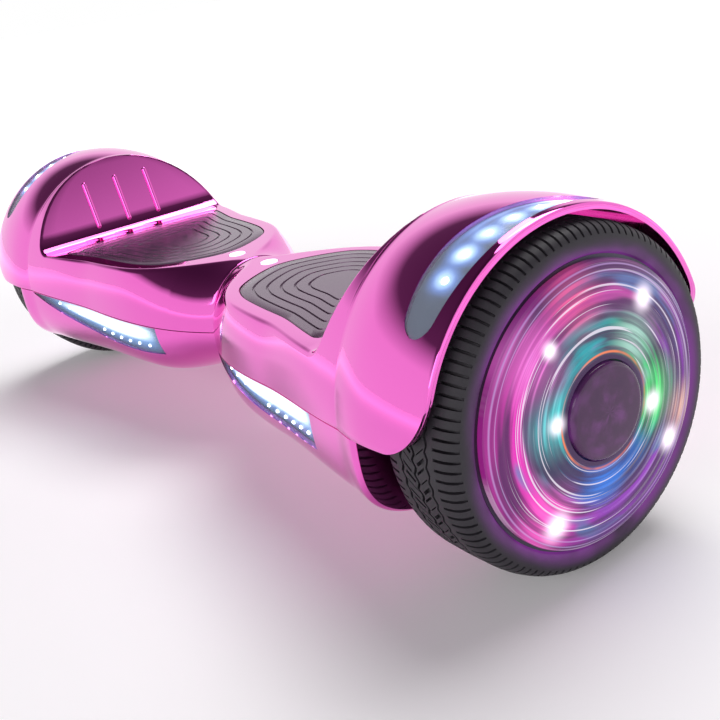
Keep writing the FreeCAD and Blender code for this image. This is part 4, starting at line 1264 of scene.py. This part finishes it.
streaks = 0.35 + fine.above(0.42, 0.22) * 0.65
for spot_radius, degrees, size, glow_colour in (
        (31.0, 172.0, 21.0, (0.12, 0.90, 0.88)), (35.0, -8.0, 23.0, (0.10, 0.95, 0.22)),
        (35.0, 48.0, 20.0, (0.42, 0.72, 0.62)), (33.0, -95.0, 19.0, (0.02, 0.20, 0.80)),
        (54.0, -134.0, 24.0, (1.10, 0.12, 0.62)), (50.0, 138.0, 26.0, (0.95, 0.20, 0.72)),
        (54.0, 100.0, 22.0, (0.90, 0.10, 0.30)), (58.0, -20.0, 18.0, (0.85, 0.50, 0.36))):
    glow = glow_at(spot_radius, degrees, size) * streaks * centre_shade
    shine = face.mix(glow, shine, glow_colour)
spots = None
for spot_radius, degrees, size in ((53.0, 52.0, 12.0), (29.0, 172.0, 9.0), (33.0, -14.0, 11.0),
                                   (55.0, -36.0, 13.0), (55.0, -126.0, 14.0), (46.0, 126.0, 8.0)):
    spot = glow_at(spot_radius, degrees, size) ** 2.2
    spots = spot if spots is None else spots + spot
orange_line = radius.line(26.5, 0.9) * arcs(face, radius, cosine, sine, 0.8, 0.02, 9.0).above(0.4, 0.2)
lilac_lines = (radius.line(61.5, 0.5) + radius.line(64.2, 0.6)) * 0.5
black = (0.0, 0.0, 0.0)
shine = face.mix(white_lines * rim_shade * centre_shade * 0.70, shine, (0.95, 0.86, 1.0))
shine = face.mix(spots.clamped(), shine, (1.7, 1.5, 1.7))
shine = face.mix(orange_line, shine, (1.0, 0.22, 0.05))
shine = face.mix(lilac_lines, shine, (0.62, 0.42, 0.85))
face.set("Emission Color", shine)
face.set("Base Color", face.mix(outward, (0.02, 0.012, 0.035), (0.05, 0.012, 0.07)))
print(face.material.name, len(face.tree.nodes), "nodes")

# %% [markdown]
# The face and the cap are round, so each is a profile turned round the axle. Fine ripples in the
# face's profile stand for the rings moulded in the real plastic.

# %% Turn the face and the cap


def face_profile():
    marks = [(1.4, HUB_RADIUS - 1.6), (3.0, HUB_RADIUS - 4.0), (4.8, 50.0), (6.4, 36.0), (7.2, 23.2)]
    outer = [(TYRE_OUT - 1.9, HUB_RADIUS - 1.6), (TYRE_OUT + 1.2, HUB_RADIUS - 1.6)]
    steps = 84
    for i in range(steps + 1):
        r = HUB_RADIUS - 2.2 - (HUB_RADIUS - 2.2 - 23.2) * i / steps
        for (x0, r0), (x1, r1) in zip(marks, marks[1:]):
            if r1 <= r <= r0:
                x = x0 + (x1 - x0) * (r0 - r) / (r0 - r1)
        ripple = 0.16 * math.sin(r * 2.0 * math.pi / 4.4) * ease(r, 24.0, 28.0)
        outer.append((TYRE_OUT + x + ripple - 0.2, r))
    inner = [(TYRE_OUT + 5.0, 23.2), (TYRE_OUT + 4.0, 40.0), (TYRE_OUT + 1.2, HUB_RADIUS - 6.0)]
    return outer + inner + [(TYRE_OUT - 1.9, HUB_RADIUS - 6.0)]


cap_finish = Finish("wheel_cap", Coat_Weight=0.25, Coat_Roughness=0.03, Specular_IOR_Level=0.3,
                    Emission_Strength=1.0)
cap_radius, cap_cosine, cap_sine = round_axle(cap_finish)
swirl_and_glow = arcs(cap_finish, cap_radius, cap_cosine, cap_sine, 1.1, 0.10, 5.0)
cap_finish.set("Base Color", cap_finish.mix(swirl_and_glow, (0.03, 0.008, 0.04), (0.09, 0.025, 0.08)))
# The cap is no lamp: its faint purple emission, stronger along the swirl, is painted glow from the lit
# face beside it.
cap_finish.set("Emission Color", cap_finish.mix(swirl_and_glow.above(0.45, 0.3), (0.012, 0.004, 0.02),
                                                (0.07, 0.015, 0.10)))
cap_finish.set("Roughness", 0.10 + swirl_and_glow * 0.10)
cap_profile = [(TYRE_OUT - 1.9, 10.0), (TYRE_OUT - 1.9, 22.0), (TYRE_OUT + 7.3, 22.4)]
for i in range(9):
    turn = math.pi / 2.0 * i / 8.0
    cap_profile.append((TYRE_OUT + 7.6 + 1.9 * math.sin(turn), 19.5 + 2.9 * math.cos(turn)))
cap_profile += [(TYRE_OUT + 9.8, 14.0), (TYRE_OUT + 10.0, 7.0), (TYRE_OUT + 10.0, 0.0)]
cap_profile += [(TYRE_OUT + 1.5, 0.0), (TYRE_OUT + 1.5, 10.0)]
left_face = turned("left_wheel_face", face_profile(), 128)
left_cap = turned("left_hub_cap", cap_profile, 72)
right_face, right_cap = mirrored(left_face, "right_wheel_face"), mirrored(left_cap, "right_hub_cap")
hand_over(left_face, face, "left_wheel", "wheel_cover", "left_wheel_light_cover", crease=50.0)
hand_over(right_face, face, "right_wheel", "wheel_cover", "right_wheel_light_cover", crease=50.0)
hand_over(left_cap, cap_finish, "left_wheel", "cap", "left_wheel_cap", crease=50.0)
hand_over(right_cap, cap_finish, "right_wheel", "cap", "right_wheel_cap", crease=50.0)

# %% [markdown]
# Light from the face spills on the rubber beside it. It is a little emission on the tyre's outer
# side that fades with the radius, because a lamp inside each wheel would be slower and noisier.

# %% Violet light on the sidewall
tyre_radius, tyre_cosine, tyre_sine = round_axle(tyre_rubber)
place_x = tyre_rubber.position()[0].magnitude() * 1000.0
spill = (1.0 - tyre_radius.above(66.0, 11.0)) * place_x.above(TYRE_OUT - 6.0, 4.0)
uneven = arcs(tyre_rubber, tyre_radius, tyre_cosine, tyre_sine, 1.4, 0.05, 2.0)
spill = spill * (0.10 + uneven.above(0.35, 0.3) * 0.9)
tyre_rubber.set("Emission Color", tyre_rubber.mix(spill, black, (0.20, 0.025, 0.27)))
tyre_rubber.set("Emission Strength", 1.0)
print("sidewall lit")

# %% [markdown]
# ## Everything inside
# Frames, boards, screws and motors stay as the CAD drew them, because their shapes are right. Each
# kind gets a finish of its own: cast and turned metal have a fine grain, boards a faint mottle,
# rubber a matt bloom.

# %% Finishes for the carried-over nodes
KINDS = {
    # slot: (darker colour, lighter colour, metallic, roughness, grain size, bump)
    "alloy": ((0.52, 0.53, 0.55), (0.70, 0.71, 0.73), 1.0, 0.34, 700.0, 0.12),
    "hub": ((0.045, 0.04, 0.06), (0.10, 0.09, 0.13), 0.8, 0.30, 500.0, 0.06),
    "steel": ((0.46, 0.46, 0.48), (0.66, 0.66, 0.68), 1.0, 0.22, 900.0, 0.05),
    "screw": ((0.05, 0.05, 0.055), (0.12, 0.12, 0.13), 0.9, 0.34, 900.0, 0.08),
    "magnet": ((0.44, 0.44, 0.47), (0.58, 0.58, 0.61), 1.0, 0.20, 400.0, 0.03),
    "stator": ((0.30, 0.15, 0.07), (0.60, 0.34, 0.16), 1.0, 0.36, 1200.0, 0.20),
    "bush": ((0.50, 0.34, 0.13), (0.74, 0.56, 0.26), 1.0, 0.38, 900.0, 0.10),
    "board": ((0.015, 0.14, 0.06), (0.05, 0.28, 0.13), 0.0, 0.32, 160.0, 0.05),
    "seal": ((0.015, 0.012, 0.016), (0.05, 0.04, 0.05), 0.0, 0.62, 800.0, 0.15),
    "cable": ((0.012, 0.012, 0.012), (0.04, 0.04, 0.04), 0.0, 0.50, 600.0, 0.10),
    "battery": ((0.03, 0.10, 0.34), (0.09, 0.22, 0.55), 0.0, 0.22, 60.0, 0.04),
    "bracket": ((0.05, 0.05, 0.055), (0.13, 0.13, 0.14), 0.2, 0.45, 900.0, 0.12),
    "socket": ((0.02, 0.02, 0.022), (0.06, 0.06, 0.065), 0.0, 0.30, 300.0, 0.05),
    "rubber_cap": ((0.38, 0.05, 0.24), (0.58, 0.12, 0.40), 0.0, 0.48, 700.0, 0.10),
    "button": ((0.72, 0.12, 0.46), (0.90, 0.24, 0.62), 0.7, 0.16, 200.0, 0.03),
}


def kind_finish(slot):
    dark, pale, metallic, roughness, size, bump = KINDS[slot]
    finish = Finish(slot + "_finish", Metallic=metallic)
    grain, cloud = finish.noise(size, 3.0), finish.noise(size / 18.0, 2.0)
    finish.set("Base Color", finish.mix(cloud, dark, pale))
    finish.set("Roughness", roughness - 0.06 + cloud * 0.10 + grain * 0.04)
    finish.bump(grain, bump, 0.0002)
    return finish


# A small round light beside the pivot, white with patches of a colder blue.
indicator = Finish("indicator_glow", Roughness=0.15, Emission_Strength=1.0)
spread = indicator.noise(260.0, 2.0)
indicator.set("Emission Color", indicator.mix(spread, (0.75, 0.90, 1.2), (1.4, 1.5, 1.6)))
indicator.set("Base Color", indicator.mix(spread, (0.7, 0.8, 0.9), (0.9, 0.95, 1.0)))
print(len(KINDS), "kinds")

# %% [markdown]
# Each node that no finer piece stands for gets the finish of its kind, set on its object's slots,
# so the mesh itself isn't touched.

# %% Dress the nodes that are still shown
kinds = {}
dressed = 0
for part in frame["record"]["subparts"]:
    node = frame["nodes"][part["node"]]
    if node.hide_render:
        continue
    slot = part["material_slot"]
    if slot == "lens":
        finish = indicator
    else:
        if slot not in kinds:
            kinds[slot] = kind_finish(slot)
        finish = kinds[slot]
    for place in node.material_slots:
        place.link = "OBJECT"
        place.material = finish.material
    dressed += 1
print(dressed, "nodes dressed with", len(kinds), "finishes")

# %% [markdown]
# ## Studio
# A pale floor, a broad light from behind, a weak one in front, a very soft sun, and a sky that is
# bright at the horizon and dark mauve overhead. The sky matters most here: chrome shows nothing
# but what is round it, so its sides come out bright pink and its upward faces deep and dark. The
# floor glows a little more with distance, so that it stays white as far as it can be seen.

# %% Floor, sky and lights
ground = Finish("pale_floor", Specular_IOR_Level=0.0, Emission_Strength=1.0)
ground.set("Base Color", ground.mix(ground.noise(3.0, 2.0), (0.88, 0.88, 0.88), (0.92, 0.92, 0.92)))
ground_x, ground_y, _ = ground.position()
outlying = ((ground_x * ground_x + ground_y * ground_y) ** 0.5).above(0.40, 1.3)
ground.set("Emission Color", ground.mix(outlying, (0.13, 0.13, 0.13), (0.65, 0.65, 0.65)))
ground.set("Roughness", 0.85 + ground.noise(5.0, 2.0) * 0.1)
floor_mesh = bpy.data.meshes.new("floor")
floor_mesh.from_pydata([(-30, -30, 0), (30, -30, 0), (30, 30, 0), (-30, 30, 0)], [], [(0, 1, 2, 3)])
floor_mesh.materials.append(ground.material)
floor = bpy.data.objects.new("floor", floor_mesh)
bpy.context.scene.collection.objects.link(floor)

sky = bpy.data.worlds.new("studio")
sky.use_nodes = True
bpy.context.scene.world = sky
nodes, links = sky.node_tree.nodes, sky.node_tree.links
direction = nodes.new("ShaderNodeTexCoord")
split = nodes.new("ShaderNodeSeparateXYZ")
height = nodes.new("ShaderNodeMapRange")
height.inputs["From Min"].default_value = -1.0
shades = nodes.new("ShaderNodeValToRGB")
sky_stops = [(0.0, (1.0, 1.0, 1.0)), (0.50, (1.0, 1.0, 1.0)), (0.67, (0.97, 0.95, 0.97)),
             (0.715, (0.62, 0.56, 0.62)), (0.765, (0.10, 0.07, 0.10)), (1.0, (0.035, 0.018, 0.035))]
while len(shades.color_ramp.elements) < len(sky_stops):
    shades.color_ramp.elements.new(0.5)
for element, (place, colour) in zip(shades.color_ramp.elements, sky_stops):
    element.position, element.color = place, (*colour, 1.0)
links.new(direction.outputs["Generated"], split.inputs[0])
links.new(split.outputs["Z"], height.inputs["Value"])
links.new(height.outputs[0], shades.inputs[0])
links.new(shades.outputs["Color"], nodes["Background"].inputs["Color"])
nodes["Background"].inputs["Strength"].default_value = 1.0


def soft_light(name, place, target, size, watts, colour=(1.0, 1.0, 1.0)):
    data = bpy.data.lights.new(name, "AREA")
    data.shape, data.size, data.size_y = "RECTANGLE", size[0], size[1]
    data.energy, data.color = watts, colour
    lamp = bpy.data.objects.new(name, data)
    lamp.location = place
    lamp.rotation_euler = (Vector(target) - Vector(place)).to_track_quat("-Z", "Y").to_euler()
    bpy.context.scene.collection.objects.link(lamp)
    return lamp


soft_light("key", (-0.5, 1.3, 2.2), (0.0, 0.0, 0.1), (2.0, 1.0), 26.0)
soft_light("fill", (0.9, -2.2, 1.3), (0.05, 0.0, 0.1), (1.8, 0.8), 10.0, (1.0, 0.97, 0.99))
data = bpy.data.lights.new("daylight", "SUN")
data.energy, data.angle = 1.2, math.radians(40.0)
daylight = bpy.data.objects.new("daylight", data)
daylight.rotation_euler = Vector((0.22, -0.42, -1.0)).to_track_quat("-Z", "Y").to_euler()
bpy.context.scene.collection.objects.link(daylight)
bpy.context.scene.view_settings.view_transform = "Standard"
print("studio ready")

# %% [markdown]
# ## Camera
# Low and close to one wheel, tilted a little, so the near half fills the frame and the far half
# runs away to the left.

# %% Place the camera
azimuth, elevation, roll = math.radians(57.51), math.radians(20.69), math.radians(-9.8)
forward = Vector((-math.sin(azimuth) * math.cos(elevation), math.cos(azimuth) * math.cos(elevation),
                  -math.sin(elevation)))
right = forward.cross(Vector((0.0, 0.0, 1.0))).normalized()
up = right.cross(forward)
right, up = math.cos(roll) * right + math.sin(roll) * up, math.cos(roll) * up - math.sin(roll) * right
data = bpy.data.cameras.new("camera")
data.lens, data.sensor_width, data.clip_end = 51.2, 36.0, 200.0
camera = bpy.data.objects.new("camera", data)
turn = Matrix((right, up, -forward)).transposed().to_4x4()
camera.matrix_world = Matrix.Translation(Vector((0.58387, -0.30326, 0.27821))) @ turn
bpy.context.scene.collection.objects.link(camera)
bpy.context.scene.camera = camera
print("camera at", [round(v, 3) for v in camera.matrix_world.translation])
